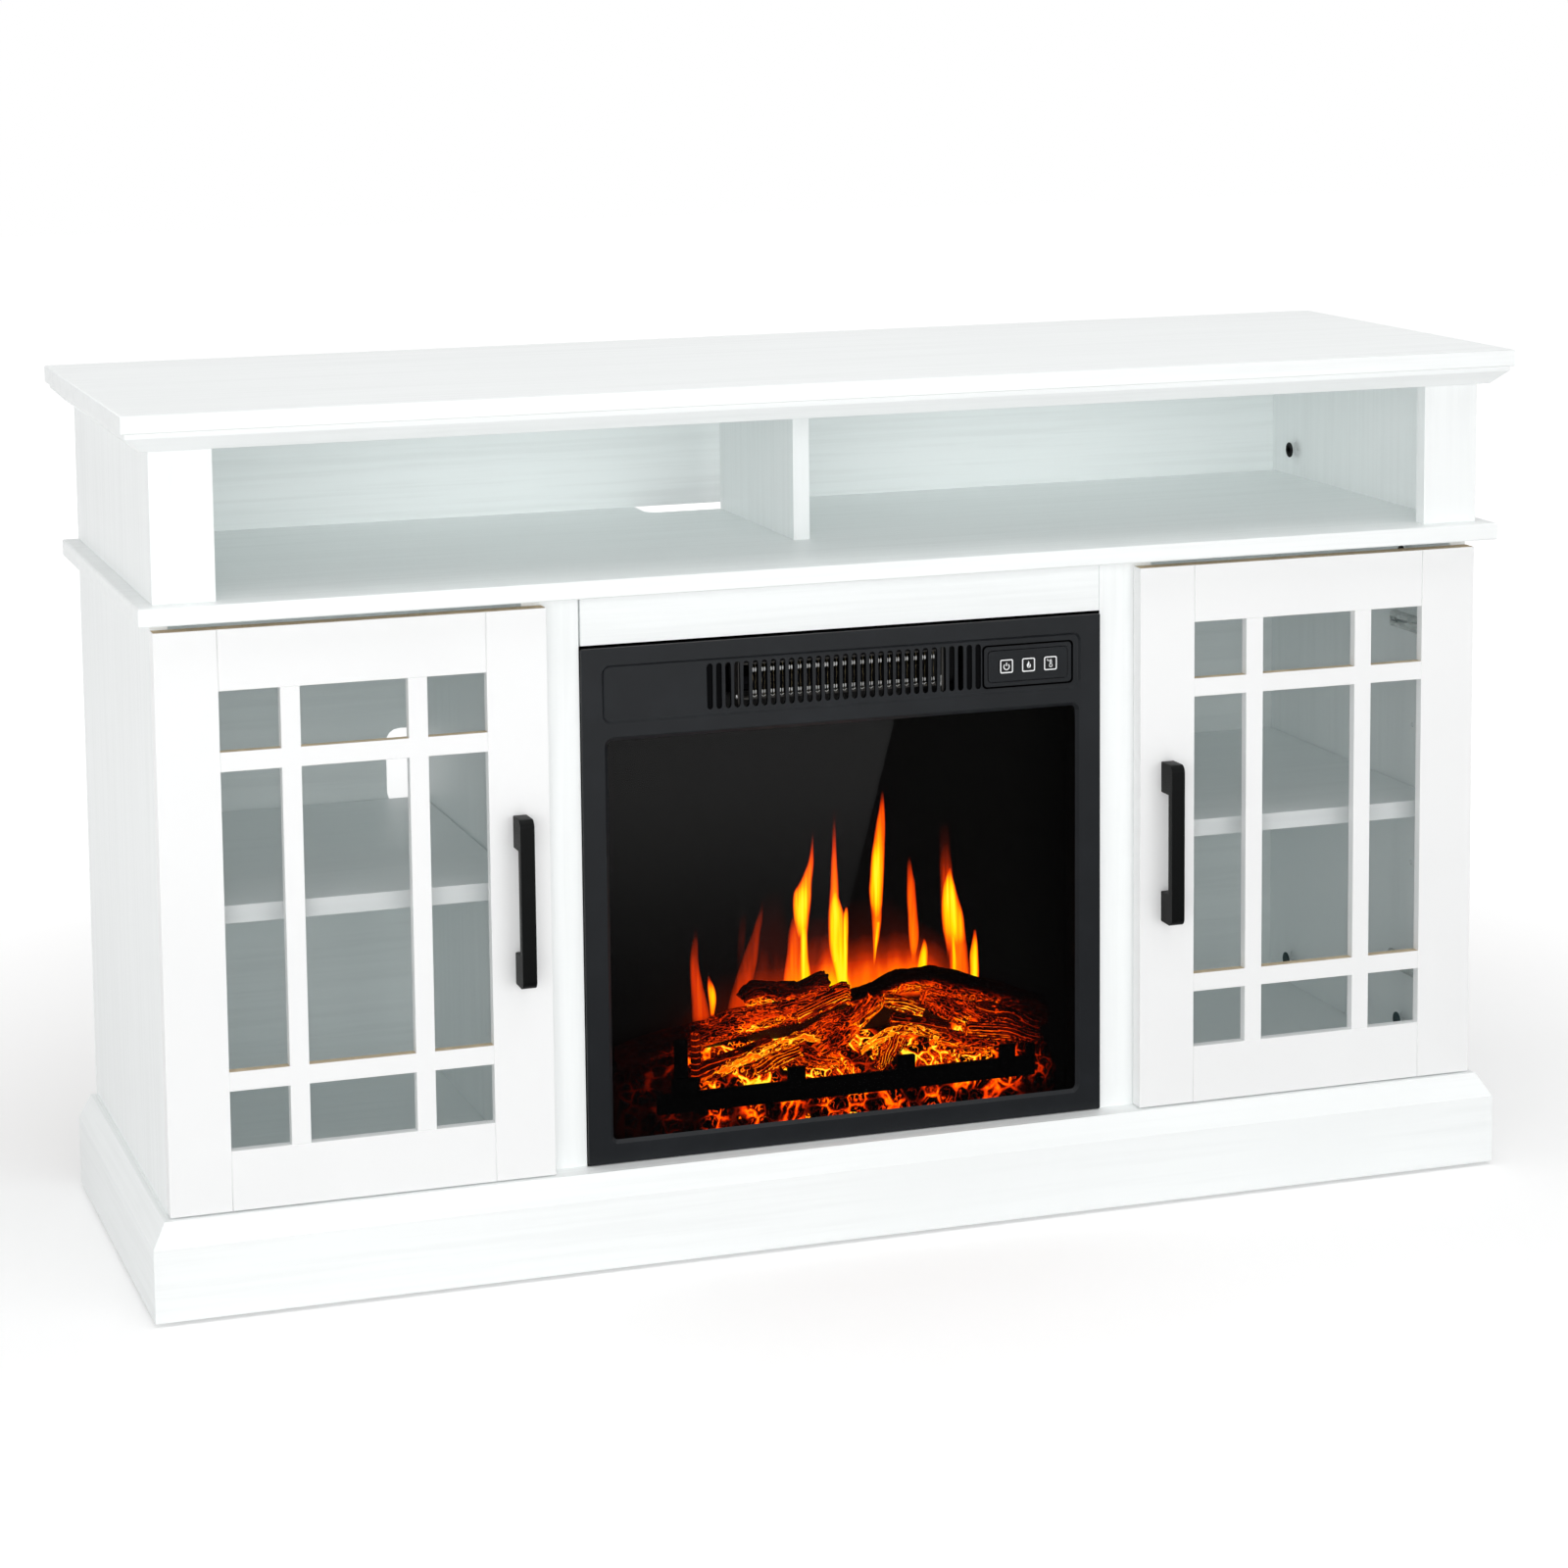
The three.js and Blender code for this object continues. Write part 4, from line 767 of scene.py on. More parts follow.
def ember_bed(name, strength):
    """Glowing coals: bright ragged seams round dark crusts."""
    g = Finish(name)
    hot, rim, curl, fill = kept_pattern(g)
    grit = g.noise(g.place(), 520.0, 4.0, 0.65)
    soot = g.noise(g.place(), 90.0, 4.0, 0.6)
    border = seam_light(g, rim + (grit - 0.5) * 0.18, 0.13)
    inner = seam_light(g, curl + (grit - 0.5) * 0.5, 0.12) * g.step(rim, 0.05, 0.3) * 0.86
    dull = fill * g.step(grit, 0.35, 0.65, 0.15, 1.2)
    heat = hot * g.larger(border, inner, dull)
    return g.end(
        g.mix((0.004, 0.003, 0.002), (0.02, 0.014, 0.01), g.step(soot, 0.5, 0.7)),
        Roughness=0.9,
        Specular_IOR_Level=0.1,
        Emission_Color=g.ramp(heat * g.step(soot, 0.3, 0.6, 0.8, 1.1), EMBER_STOPS),
        Emission_Strength=strength,
        Normal=g.bump(grit, 0.0006, 0.5),
    )


def charred_bark(name, strength):
    """Burnt bark: ragged cracks that follow the log, with fine threads along it."""
    g = Finish(name)
    hot, crack, flake, fill = kept_pattern(g)
    grain = g.node("ShaderNodeUVMap", {"uv_map": "along"})
    fine = g.node("ShaderNodeMapping", None, {"Vector": grain, "Scale": (46.0, 12.0, 1.0)})
    thread = g.noise(fine, 1.0, 3.0, 0.6)
    grit = g.noise(g.place(), 560.0, 3.0, 0.6)
    rough = (grit - 0.5) * 0.16 + (thread - 0.5) * 0.2
    wide = seam_light(g, crack + rough, 0.095)
    thin = seam_light(g, flake + rough, 0.075) * 0.85
    hair = seam_light(g, thread - 0.5, 0.022) * 0.46
    dull = fill * g.step(thread, 0.32, 0.62, 0.35, 1.25)
    heat = g.larger(wide, thin, hair, dull)
    return g.end(
        g.mix((0.004, 0.003, 0.002), (0.02, 0.013, 0.009), g.step(thread, 0.5, 0.75)),
        Roughness=0.9,
        Specular_IOR_Level=0.1,
        Emission_Color=g.ramp(hot * heat, EMBER_STOPS),
        Emission_Strength=strength,
        Normal=g.bump(thread + grit * 0.4, 0.0008, 0.7),
    )


# Settings


def colour(name, words, value):
    return bpy.props.FloatVectorProperty(
        name=name, description=words, subtype="COLOR", default=value, min=0, max=1
    )


def amount(name, words, value, **kind):
    return bpy.props.FloatProperty(name=name, description=words, default=value, min=0, **kind)


def share_of_one(name, words, value):
    return amount(name, words, value, subtype="FACTOR", max=1)


def length(name, words, value):
    return amount(name, words, value, unit="LENGTH")


def power(name, words, value):
    return amount(name, words, value, unit="POWER")


def count(name, words, value, least):
    return bpy.props.IntProperty(name=name, description=words, default=value, min=least)


class FinishSettings(bpy.types.PropertyGroup):
    """Colours and edges of the boards and fittings."""

    foil: colour("White foil", "Colour of the boards", (0.93, 0.952, 0.95))
    door: colour("Door paint", "Colour of the door frames and their bars", (0.9, 0.905, 0.905))
    sheet: colour("Back face", "Colour of the backs inside the cabinet", (0.94, 0.972, 0.968))
    fibre: colour("Raw fibre", "Colour of sawn board edges", (0.62, 0.5, 0.34))
    slate: colour("Slate front", "Colour of the fire's front plate", (0.0092, 0.0107, 0.0127))
    black: colour("Black metal", "Colour of the bar pulls", (0.004, 0.0044, 0.0044))
    ease: length("Edge radius", "Rounding of the board edges", 0.5 * MM)
    tint: share_of_one("Pane tint", "How much the door glass hides", 0.1)


class FireSettings(bpy.types.PropertyGroup):
    """Light of the flames and embers."""

    flames: amount("Flames", "Light of the flames on the screen", 5.6)
    embers: amount("Embers", "Light of the ember bed and logs", 7.0)
    smoke: share_of_one("Smoked glass", "How much the fire's glass hides", 0.55)
    coals: count("Coals", "Loose coals along the grate", 40, 0)
    coal_size: length("Coal size", "Radius of the largest loose coals", 4.4 * MM)


class HeaterSettings(bpy.types.PropertyGroup):
    """Ribbon wires of the heater."""

    wires: count("Wire pairs", "Pairs of ribbon wires across the heater", 21, 1)
    pitch: length("Wire pitch", "Distance from pair to pair", 8.0 * MM)
    split: length("Wire split", "Distance between the two wires of a pair", 2.6 * MM)


class StageSettings(bpy.types.PropertyGroup):
    """Light and floor of the studio."""

    key: power("Front lamp", "Power of the large lamp in front", 64.0)
    top: power("Top lamp", "Power of the large lamp overhead", 48.0)
    side: power("Side lamp", "Power of the large lamp at the left", 29.0)
    ambient: amount("Room light", "Strength of the even light round the object", 0.42)
    floor: colour("Floor", "Colour of the floor", (0.8, 0.8, 0.8))
    lift: amount("Floor glow", "Light that keeps the floor white to the camera", 0.3)


# Stage

PURE_WHITE = (1, 1, 1, 1)
FLOOR_CORNERS = ((-12.0, -12.0), (12.0, -12.0), (12.0, 12.0), (-12.0, 12.0))

# Each card: name, height, cover at its far end, corners in X and Y
CARDS = (
    ("dark_card", 2 * MM, 1.0, ((-0.014, -0.3), (0.852, -2.32), (3.2, -2.32), (3.2, -0.3))),
    ("near_card", 3 * MM, 0.0, ((-3.0, -2.1), (3.2, -2.1), (3.2, -0.3), (-3.0, -0.3))),
)

# Each lamp: name, the setting with its power and the share of it, size, place, aim
LAMPS = (
    ("front_lamp", "key", 1.0, (3.0, 2.0), (-1.9, -4.2, 1.1), (0, 0, 0.45)),
    ("fill_lamp", "key", 0.5, (2.6, 1.6), (1.2, -4.2, 1.0), (0, 0, 0.45)),
    ("top_lamp", "top", 1.0, (3.0, 3.0), (0.2, -0.6, 3.6), (0, 0, 0.7)),
    ("side_lamp", "side", 1.0, (2.6, 2.2), (-4.2, -0.4, 1.3), (-0.6, 0, 0.4)),
)

# Camera: place, then heading, tip and roll in degrees, lens in mm, and upward shift
CAMERA_PLACE = (-1.087981, -3.208442, 1.095937)
CAMERA_TURNS = (-18.763, 90 - 7.262, -0.575)
CAMERA_LENS = 89.567
CAMERA_SHIFT = -0.21875


def seen_rays(g):
    """One on the rays that the camera, a mirror or glass follows, zero on the others."""
    kinds = ("Is Camera Ray", "Is Glossy Ray", "Is Transmission Ray")
    return g.larger(*g.node("ShaderNodeLightPath", output=kinds))


def level_sheet(name, corners, height):
    """One level face."""
    shape = bmesh.new()
    shape.faces.new([shape.verts.new((x, y, height)) for x, y in corners])
    return as_mesh(shape, name)


class STAND_OT_stage(bpy.types.Operator):
    """Sets up the pale floor, the soft lamps and the camera"""

    bl_idname = "stand.stage"
    bl_label = "Stage"
    bl_icon = "LIGHT_AREA"

    def execute(self, context):
        scene = context.scene
        stage = scene.stand_stage
        scene.view_settings.view_transform = "Standard"
        # White insides pass the light on many times before it fades.
        scene.cycles.max_bounces = 16
        scene.cycles.diffuse_bounces = 12
        scene.world = self.room(stage.ambient)
        cards = [self.card(*card) for card in CARDS]
        self.floor(stage)
        for name, source, share, size, place, aim in LAMPS:
            self.lamp(name, share * getattr(stage, source), size, place, aim)
        camera_data = bpy.data.cameras.new("camera")
        camera_data.sensor_width = 36.0
        camera_data.lens = CAMERA_LENS
        camera_data.shift_y = CAMERA_SHIFT
        camera_data.dof.use_dof = False
        camera = placed("camera", camera_data)
        heading, tip, roll = [math.radians(angle) for angle in CAMERA_TURNS]
        camera.matrix_world = (
            Matrix.Translation(CAMERA_PLACE)
            @ Matrix.Rotation(heading, 4, "Z")
            @ Matrix.Rotation(tip, 4, "X")
            @ Matrix.Rotation(roll, 4, "Z")
        )
        scene.camera = camera
        return {"FINISHED"}

    @staticmethod
    def room(ambient):
        world = bpy.data.worlds.new("studio")
        world.use_nodes = True
        g = Graph(world.node_tree)
        strength = seen_rays(g) * (1 - ambient) + ambient
        light = g.node("ShaderNodeBackground", None, {0: PURE_WHITE, 1: strength})
        g.node("ShaderNodeOutputWorld", None, {0: light}, None)
        return world

    @staticmethod
    def floor(stage):
        """A wide floor whose glow grows with the distance from the stand."""
        mesh = level_sheet("floor", FLOOR_CORNERS, 0)
        g = Finish("pale_floor")
        surface = g.node("ShaderNodeBsdfDiffuse", None, {0: (*stage.floor, 1)})
        x, y, z = g.split(g.place())
        away = g.calc("SQRT", x * x + y * y)
        lift = stage.lift + g.step(away, 0.7, 2.2, 0.0, 0.45)
        glow = g.node("ShaderNodeEmission", None, {0: PURE_WHITE, 1: seen_rays(g) * lift})
        both = g.node("ShaderNodeAddShader", None, {0: surface, 1: glow})
        g.node("ShaderNodeOutputMaterial", None, {0: both}, None)
        mesh.materials.append(g.material)
        return placed("floor", mesh)

    @staticmethod
    def card(name, height, cover, corners):
        """A dark card that only the fire's glass mirrors; it fades out away from the stand."""
        mesh = level_sheet(name, corners, height)
        g = Finish(name)
        away = g.split(g.place())[1]
        solid = g.step(away, -2.0, -0.7, cover, 1.0)
        mesh.materials.append(g.end((0.003, 0.003, 0.003), Roughness=1.0, Alpha=solid))
        card = placed(name, mesh)
        card.visible_camera = False
        card.visible_diffuse = False
        card.visible_shadow = False
        card.visible_transmission = False
        return card

    @staticmethod
    def lamp(name, power, size, place, aim):
        data = bpy.data.lights.new(name, "AREA")
        data.shape = "RECTANGLE"
        data.size, data.size_y = size
        data.energy = power
        towards = (Vector(aim) - Vector(place)).to_track_quat("-Z", "Y")
        placed(name, data).matrix_world = Matrix.LocRotScale(place, towards, None)


# Boards

BOARDS = {
    0: (
        "top_panel",
        "cornice_front",
        "mid_shelf",
        "bottom_panel",
        "centre_rail",
        "plinth_front",
        "shelf_left",
        "shelf_right",
    ),
    1: ("cornice_left", "cornice_right", "plinth_left", "plinth_right"),
    2: (
        "upper_side_left",
        "upper_side_right",
        "upper_post_left",
        "upper_post_right",
        "upper_divider",
        "side_panel_left",
        "side_panel_right",
        "partition_left",
        "partition_right",
        "centre_stile_left",
        "centre_stile_right",
    ),
}


class STAND_OT_boards(bpy.types.Operator):
    """Rounds the edges of the white boards and gives them their foil"""

    bl_idname = "stand.boards"
    bl_label = "Boards"
    bl_icon = "MESH_CUBE"

    def execute(self, context):
        finish = context.scene.stand_finish
        for along, nodes in BOARDS.items():
            foil = white_foil("white_foil_" + AXES[along].lower(), finish.foil, along)
            for node in nodes:
                mesh = eased(node, finish.ease)
                piece(node + "_board", mesh, "cabinet", [foil], [node])
        return {"FINISHED"}


BACKS = ("back_panel_upper", "back_panel_left", "back_panel_right")


class STAND_OT_backs(bpy.types.Operator):
    """Gives the hardboard backs a printed face and a fibre rear"""

    bl_idname = "stand.backs"
    bl_label = "Backs"
    bl_icon = "MESH_PLANE"

    def execute(self, context):
        finish = context.scene.stand_finish
        split = edge("back_panel_upper", "Y", 1) - 0.1 * MM
        sheet = back_sheet("hardboard", finish.sheet, (0.2, 0.115, 0.06), split)
        for node in BACKS:
            mesh = as_mesh(merged(node), node)
            piece(node + "_sheet", mesh, "cabinet", [sheet], [node])
        return {"FINISHED"}


# Doors


class STAND_OT_doors(bpy.types.Operator):
    """Makes both glazed doors: frame, bars, pane and bar pull"""

    bl_idname = "stand.doors"
    bl_label = "Doors"
    bl_icon = "MOD_LATTICE"

    def execute(self, context):
        finish = context.scene.stand_finish
        paint = door_white("door_paint", finish.door)
        fibre = raw_fibre("raw_fibre", finish.fibre)
        glass = clear_pane("door_glass", (0.07, 0.13, 0.14), finish.tint)
        black = powder_coat("black_pull", finish.black, 0.42, shine=0.07)
        for side in SIDES:
            body = side + "_door"
            for part in ("frame", "grid"):
                node = f"door_{part}_{side}"
                mesh = eased(node, finish.ease)
                made = piece(node + "_painted", mesh, body, [paint, fibre], [node])
                top = edge(node, "Z", 1) - MM if part == "frame" else 0
                for face in made.data.polygons:
                    if face.normal.z > 0.95 and face.center.z > top:
                        face.material_index = 1
            node = f"door_glass_{side}"
            mesh = eased(node, 0.3 * MM)
            piece(node + "_pane", mesh, body, [glass], [node])
            node = f"door_pull_{side}"
            mesh = eased(node, 0.9 * MM, 5 * MM, 3)
            piece(node + "_bar", mesh, body, [black], [node], smooth=35)
        return {"FINISHED"}


# Fasteners: heights and depths of the cams and the hinges, in mm
HINGE_LEVELS = (164.25, 481.25)
UPPER_CAM_LEVELS = (610, 697)
UPPER_CAM_DEPTHS = (-135, 147)
LOWER_CAM_LEVELS = (109, 543)
LOWER_CAM_DEPTHS = (-82, 147)
DIVIDER_CAM_DEPTH = 52
CAM_INSET = 1.2

# Screws of a hinge, in mm: place across and in depth, then their rises from its middle
PLATE_SCREWS = (567.5, -123, -12, 12)
ARM_SCREW = (559.5, -77, 0)
CUP_SCREWS = (563, -160.4, -26, 26)

# Pins of the backs, in mm, and a pin's radii and heights
PIN_MARGIN = 7
PIN_PITCH = 110
PIN_PROFILE = ((0, 0), (2.4, 0), (2.2, 0.5), (0, 0.8))


def cross_head(name, radius, height, slot, steps=16):
    """A fastener's head with a cross cut in its rounded top, standing on its base."""
    shape = bmesh.new()
    profile = ((radius, 0), (radius, height * 0.55), (radius * 0.78, height))
    rings = [circle(shape, out, up, steps) for out, up in profile]
    shape.faces.new(list(reversed(rings[0])))
    for low, high in zip(rings, rings[1:]):
        band(shape, low, high)
    wide = slot * 0.22
    arm = ((slot, -wide), (slot, wide), (wide, wide))
    outline = []
    for cos, sin in ((1, 0), (0, 1), (-1, 0), (0, -1)):
        outline += [(u * cos - v * sin, u * sin + v * cos) for u, v in arm]
    top = [shape.verts.new((u, v, height)) for u, v in outline]
    pit = [shape.verts.new((u * 0.8, v * 0.8, height * 0.35)) for u, v in outline]
    shape.faces.new(pit)
    loops = []
    for ring in (rings[-1], top):
        loops += [shape.edges.get(pair) or shape.edges.new(pair) for pair in looped(ring)]
    bmesh.ops.bridge_loops(shape, edges=loops)
    band(shape, top, pit)
    outward(shape)
    return as_mesh(shape, name)


def fasteners(name, spots, head, material):
    """Sets one head at every spot, turned the way that spot faces."""
    cloud = bmesh.new()
    layer = cloud.verts.layers.float_vector.new("facing")
    for place, facing in spots:
        cloud.verts.new(Vector(place) * MM)[layer] = facing
    model = placed(name + "_head", head)
    g = Growth(name, {"Head": model, "Material": material})
    settings = {"data_type": "FLOAT_VECTOR"}
    facing = g.node("GeometryNodeInputNamedAttribute", settings, {"Name": "facing"}, "Attribute")
    turn = g.node("FunctionNodeAlignRotationToVector", {"axis": "Z"}, {"Vector": facing})
    single = g.node("GeometryNodeObjectInfo", None, {"Object": g.given("Head")}, "Geometry")
    values = {"Points": g.given("Geometry"), "Instance": single, "Rotation": turn}
    g.end(g.node("GeometryNodeInstanceOnPoints", None, values))
    mesh = g.grow(name, as_mesh(cloud, name + "_spots"))
    bpy.data.objects.remove(model)
    return mesh


class STAND_OT_fittings(bpy.types.Operator):
    """Sets the cam discs, the hinge screws and the pins of the backs"""

    bl_idname = "stand.fittings"
    bl_label = "Screws, cams and pins"
    bl_icon = "MOD_SCREW"

    def execute(self, context):
        black = powder_coat("cam_black", (0.006, 0.006, 0.0065), 0.5, shine=0.1)
        nickel = plated("screw_nickel", (0.7, 0.69, 0.67), 0.22)
        steel = plated("pin_steel", (0.5, 0.5, 0.52), 0.3)
        disc = cross_head("cam_disc", 7.2 * MM, 1.0 * MM, 4.2 * MM, 20)
        screw = cross_head("screw", 3.2 * MM, 1.3 * MM, 1.9 * MM)
        pin = as_mesh(turned(PIN_PROFILE, 12), "pin")
        plates, cups = [], {}
        for side, body in zip((-1, 1), SIDES):
            cups[body] = []
            for z in HINGE_LEVELS:
                for spots, facing, (x, y, *rises) in (
                    (plates, (-side, 0, 0), PLATE_SCREWS),
                    (plates, (-side, 0, 0), ARM_SCREW),
                    (cups[body], (0, 1, 0), CUP_SCREWS),
                ):
                    spots += [((side * x, y, z + up), facing) for up in rises]
        sets = [("cam_discs", self.cams(), disc, black, "cabinet", "black_plastic")]
        for body, spots in cups.items():
            name = "cup_screws_" + body
            sets.append((name, spots, screw, nickel, body + "_door", "bright_metal"))
        sets.append(("plate_screws", plates, screw, nickel, "cabinet", "bright_metal"))
        sets.append(("back_pins", self.pins(), pin, steel, "cabinet", "bright_metal"))
        for name, spots, head, material, body, slot in sets:
            piece(name, fasteners(name, spots, head, material), body, None)
        return {"FINISHED"}

    @staticmethod
    def cams():
        """Places and facings of the cam discs on the inner faces of the uprights, in mm."""
        wall = edge("side_panel_right", "X", 0) / MM + CAM_INSET
        fire_side = edge("partition_right", "X", 0) / MM + CAM_INSET
        divider = edge("upper_divider", "X", 1) / MM - CAM_INSET
        spots = []
        for side in (-1, 1):
            for z in UPPER_CAM_LEVELS:
                spots += [((side * wall, y, z), (-side, 0, 0)) for y in UPPER_CAM_DEPTHS]
            for z in LOWER_CAM_LEVELS:
                for y in LOWER_CAM_DEPTHS:
                    spots += [((side * x, y, z), (-side, 0, 0)) for x in (wall, fire_side)]
        return spots + [((divider, DIVIDER_CAM_DEPTH, z), (1, 0, 0)) for z in UPPER_CAM_LEVELS]

    def pins(self):
        """Places and facings of the pins round the edges of the backs, in mm."""
        spots = []
        for node in BACKS:
            left, right = [edge(node, "X", high) / MM for high in (0, 1)]
            foot, head = [edge(node, "Z", high) / MM for high in (0, 1)]
            rear = edge(node, "Y", 1) / MM
            across = self.spread(left + PIN_MARGIN, right - PIN_MARGIN)
            up = self.spread(foot + PIN_MARGIN, head - PIN_MARGIN)
            spots += [(x, rear, z) for x in across for z in (up[0], up[-1])]
            spots += [(x, rear, z) for x in (across[0], across[-1]) for z in up[1:-1]]
        return [(spot, (0, 1, 0)) for spot in spots]

    @staticmethod
    def spread(low, high):
        """Even steps from one value to another, close to the pitch of the pins."""
        count = max(round((high - low) / PIN_PITCH), 1)
        return [low + (high - low) * i / count for i in range(count + 1)]


class STAND_OT_hinges(bpy.types.Operator):
    """Plates the concealed hinges with nickel"""

    bl_idname = "stand.hinges"
    bl_label = "Hinges"
    bl_icon = "CONSTRAINT"

    def execute(self, context):
        nickel = plated("nickel", (0.72, 0.71, 0.69))
        for side in SIDES:
            for level in ("lower", "upper"):
                cup = f"hinge_cup_{level}_{side}"
                mesh = eased(cup, 0.2 * MM, 2 * MM, 1, 50)
                piece(cup + "_plated", mesh, side + "_door", [nickel], [cup], 30)
                arm = f"hinge_arm_{level}_{side}"
                mesh = eased(arm, 0.3 * MM, 3 * MM, 2, 30)
                piece(arm + "_plated", mesh, "cabinet", [nickel], [arm], 30)
        return {"FINISHED"}


# Radius and height in mm, from the sole up
FOOT_PROFILE = (
    *((0, 0), (14.5, 0), (15.6, 0.4), (16, 1.5), (16, 6), (15, 7), (11, 11)),
    *((11, 26), (11.6, 27), (11.6, 36), (11, 37), (11, 53), (12, 55)),
    *((16, 61), (20, 64), (23.5, 64), (24, 64.5), (24, 68), (0, 68)),
)


class STAND_OT_feet(bpy.types.Operator):
    """Turns the plastic support feet"""

    bl_idname = "stand.feet"
    bl_label = "Feet"
    bl_icon = "MESH_CYLINDER"

    def execute(self, context):
        black = powder_coat("black_plastic", (0.012, 0.012, 0.013), 0.5)
        for place in ("front", "rear"):
            for side in SIDES:
                node = f"foot_{place}_{side}"
                low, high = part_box(node)
                middle = Vector(((low.x + high.x) / 2, (low.y + high.y) / 2, 0))
                mesh = as_mesh(turned(FOOT_PROFILE, 40, middle), node)
                piece(node + "_turned", mesh, "cabinet", [black], [node], 28)
        return {"FINISHED"}


# Fire insert


# Where the grille's slots are: half width, drops of their tops and feet from the bezel's top,
# and the skin in front of their insides, which are painted near black as shade
GRILLE_HALF = 124 * MM
GRILLE_TOP = 18 * MM
GRILLE_FOOT = 60 * MM
GRILLE_SKIN = 2.3 * MM


class STAND_OT_front(bpy.types.Operator):
    """Makes the slate front plate of the fire and its grille, and black rings painted as the shade
    in the gaps round the plate and the control panel
    """

    bl_idname = "stand.front"
    bl_label = "Front plate"
    bl_icon = "MESH_GRID"

    def execute(self, context):
        finish = context.scene.stand_finish
        slate = powder_coat("slate_front", finish.slate, 0.38)
        low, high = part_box("bezel")
        # The front plate's edges carry a painted highlight
        edge_highlight = powder_coat("worn_slate", finish.slate, 0.38, shine=0.18, box=(low, high))
        mesh = eased("bezel", 0.5 * MM, 30 * MM, 3)
        # Painted shade: the slots' insides past the skin are painted near black, not the plate's
        # own colour
        slot_shade = powder_coat("slot_black", (0.0028, 0.003, 0.0034), 0.7, shine=0.02)
        made = piece("bezel_front", mesh, "cabinet", [edge_highlight, slot_shade], ["bezel"])
        for face in made.data.polygons:
            x, y, z = face.center
            within = abs(x) < GRILLE_HALF and GRILLE_TOP < high.z - z < GRILLE_FOOT
            if within and y > low.y + GRILLE_SKIN:
                face.material_index = 1
        mesh = eased("control_panel", 0.3 * MM, 12 * MM, 2)
        piece("control_panel_plate", mesh, "cabinet", [slate], ["control_panel"])
        # Painted shade: near-black rings stand in for the shadowed gaps round the control panel and
        # above the front plate
        gap_shade = powder_coat("rubber_seal", (0.0006, 0.0006, 0.0007), 0.8, shine=0.0)
        gap_shade_rings = bmesh.new()
        middle, half, tall = face_of("control_panel")
        outer = rounded_outline(half + 0.75 * MM, tall + 0.75 * MM, 4 * MM)
        inner = rounded_outline(half - 0.6 * MM, tall - 0.6 * MM, 3.4 * MM)
        front = edge("control_panel", "Y", 0)
        collar(gap_shade_rings, outer, inner, middle, front - 0.05 * MM, front + 0.4 * MM)
        middle, half, tall = face_of("bezel")
        outer = rounded_outline(half + 0.45 * MM, tall + 2.2 * MM, 0.5 * MM)
        inner = rounded_outline(half - 1.2 * MM, tall - 1.2 * MM, 0.5 * MM)
        rail = edge("centre_rail", "Y", 0)
        collar(gap_shade_rings, outer, inner, (0, middle[1]), rail - 0.25 * MM, rail)
        outward(gap_shade_rings)
        piece("seals", as_mesh(gap_shade_rings, "seals"), "cabinet", [gap_shade])
        return {"FINISHED"}


class STAND_OT_buttons(bpy.types.Operator):
    """Makes the three press buttons with their printed signs"""

    bl_idname = "stand.buttons"
    bl_label = "Buttons"
    bl_icon = "RADIOBUT_ON"

    def execute(self, context):
        black = powder_coat("button_black", (0.008, 0.008, 0.009), 0.3, 2600.0)
        white = raw_print("printed_white", (0.9, 0.91, 0.92))
        signs = {"power": power_sign, "flame": flame_sign, "heat": heat_sign}
        for name, sign in signs.items():
            node = name + "_button"
            middle = face_of(node)[0]
            front = edge(node, "Y", 0) - 0.08 * MM
            back = edge(node, "Y", 0) + 0.1 * MM
            mesh = eased(node, 0.5 * MM, 4 * MM, 3)
            piece(node + "_cap", mesh, name + "_key", [black], [node], 40)
            shape = bmesh.new()
            outer = rounded_outline(5.95 * MM, 5.95 * MM, 1.6 * MM)
            inner = rounded_outline(4.95 * MM, 4.95 * MM, 0.9 * MM)
            collar(shape, outer, inner, middle, front, back)
            sign(shape, middle, front, back)
            outward(shape)
            mesh = as_mesh(shape, node + "_sign")
            piece(node + "_sign", mesh, name + "_key", [white])
        return {"FINISHED"}


def raw_print(name, colour):
    """Screen-printed ink."""
    g = Finish(name)
    speck = g.noise(g.place(), 3000.0, 2.0)
    return g.end(g.mix(shade(colour, 0.85), colour, speck), Roughness=0.5)


def stroke(shape, points, width, front, back):
    """A flat line of even width through points in X and Z."""
    half = width / 2
    sides = ([], [])
    for i, point in enumerate(points):
        before = Vector(points[max(i - 1, 0)])
        after = Vector(points[min(i + 1, len(points) - 1)])
        along = (after - before).normalized()
        across = Vector((-along.y, along.x)) * half
        sides[0].append(Vector(point) + across)
        sides[1].append(Vector(point) - across)
    outline = sides[1] + list(reversed(sides[0]))
    near, far = [upright(shape, outline, (0, 0), y) for y in (front, back)]
    for i in range(len(points) - 1):
        j = -1 - i
        shape.faces.new([near[k] for k in (i, i + 1, j - 1, j)])
        shape.faces.new([far[k] for k in (j, j - 1, i + 1, i)])
    band(shape, far, near)


def arc_points(centre, radius, start, stop, steps):
    """Points along an arc, in degrees from upright, clockwise."""
    points = []
    for i in range(steps + 1):
        turn = math.radians(start + (stop - start) * i / steps)
        points.append((centre[0] + radius * math.sin(turn), centre[1] + radius * math.cos(turn)))
    return points


def power_sign(shape, middle, front, back):
    """A broken ring with an upright bar."""
    x, z = middle
    centre = (x, z - 0.4 * MM)
    stroke(shape, arc_points(centre, 2.5 * MM, 38, 322, 24), 0.85 * MM, front, back)
    stroke(shape, [(x, z + 3.2 * MM), (x, z + 0.2 * MM)], 0.85 * MM, front, back)


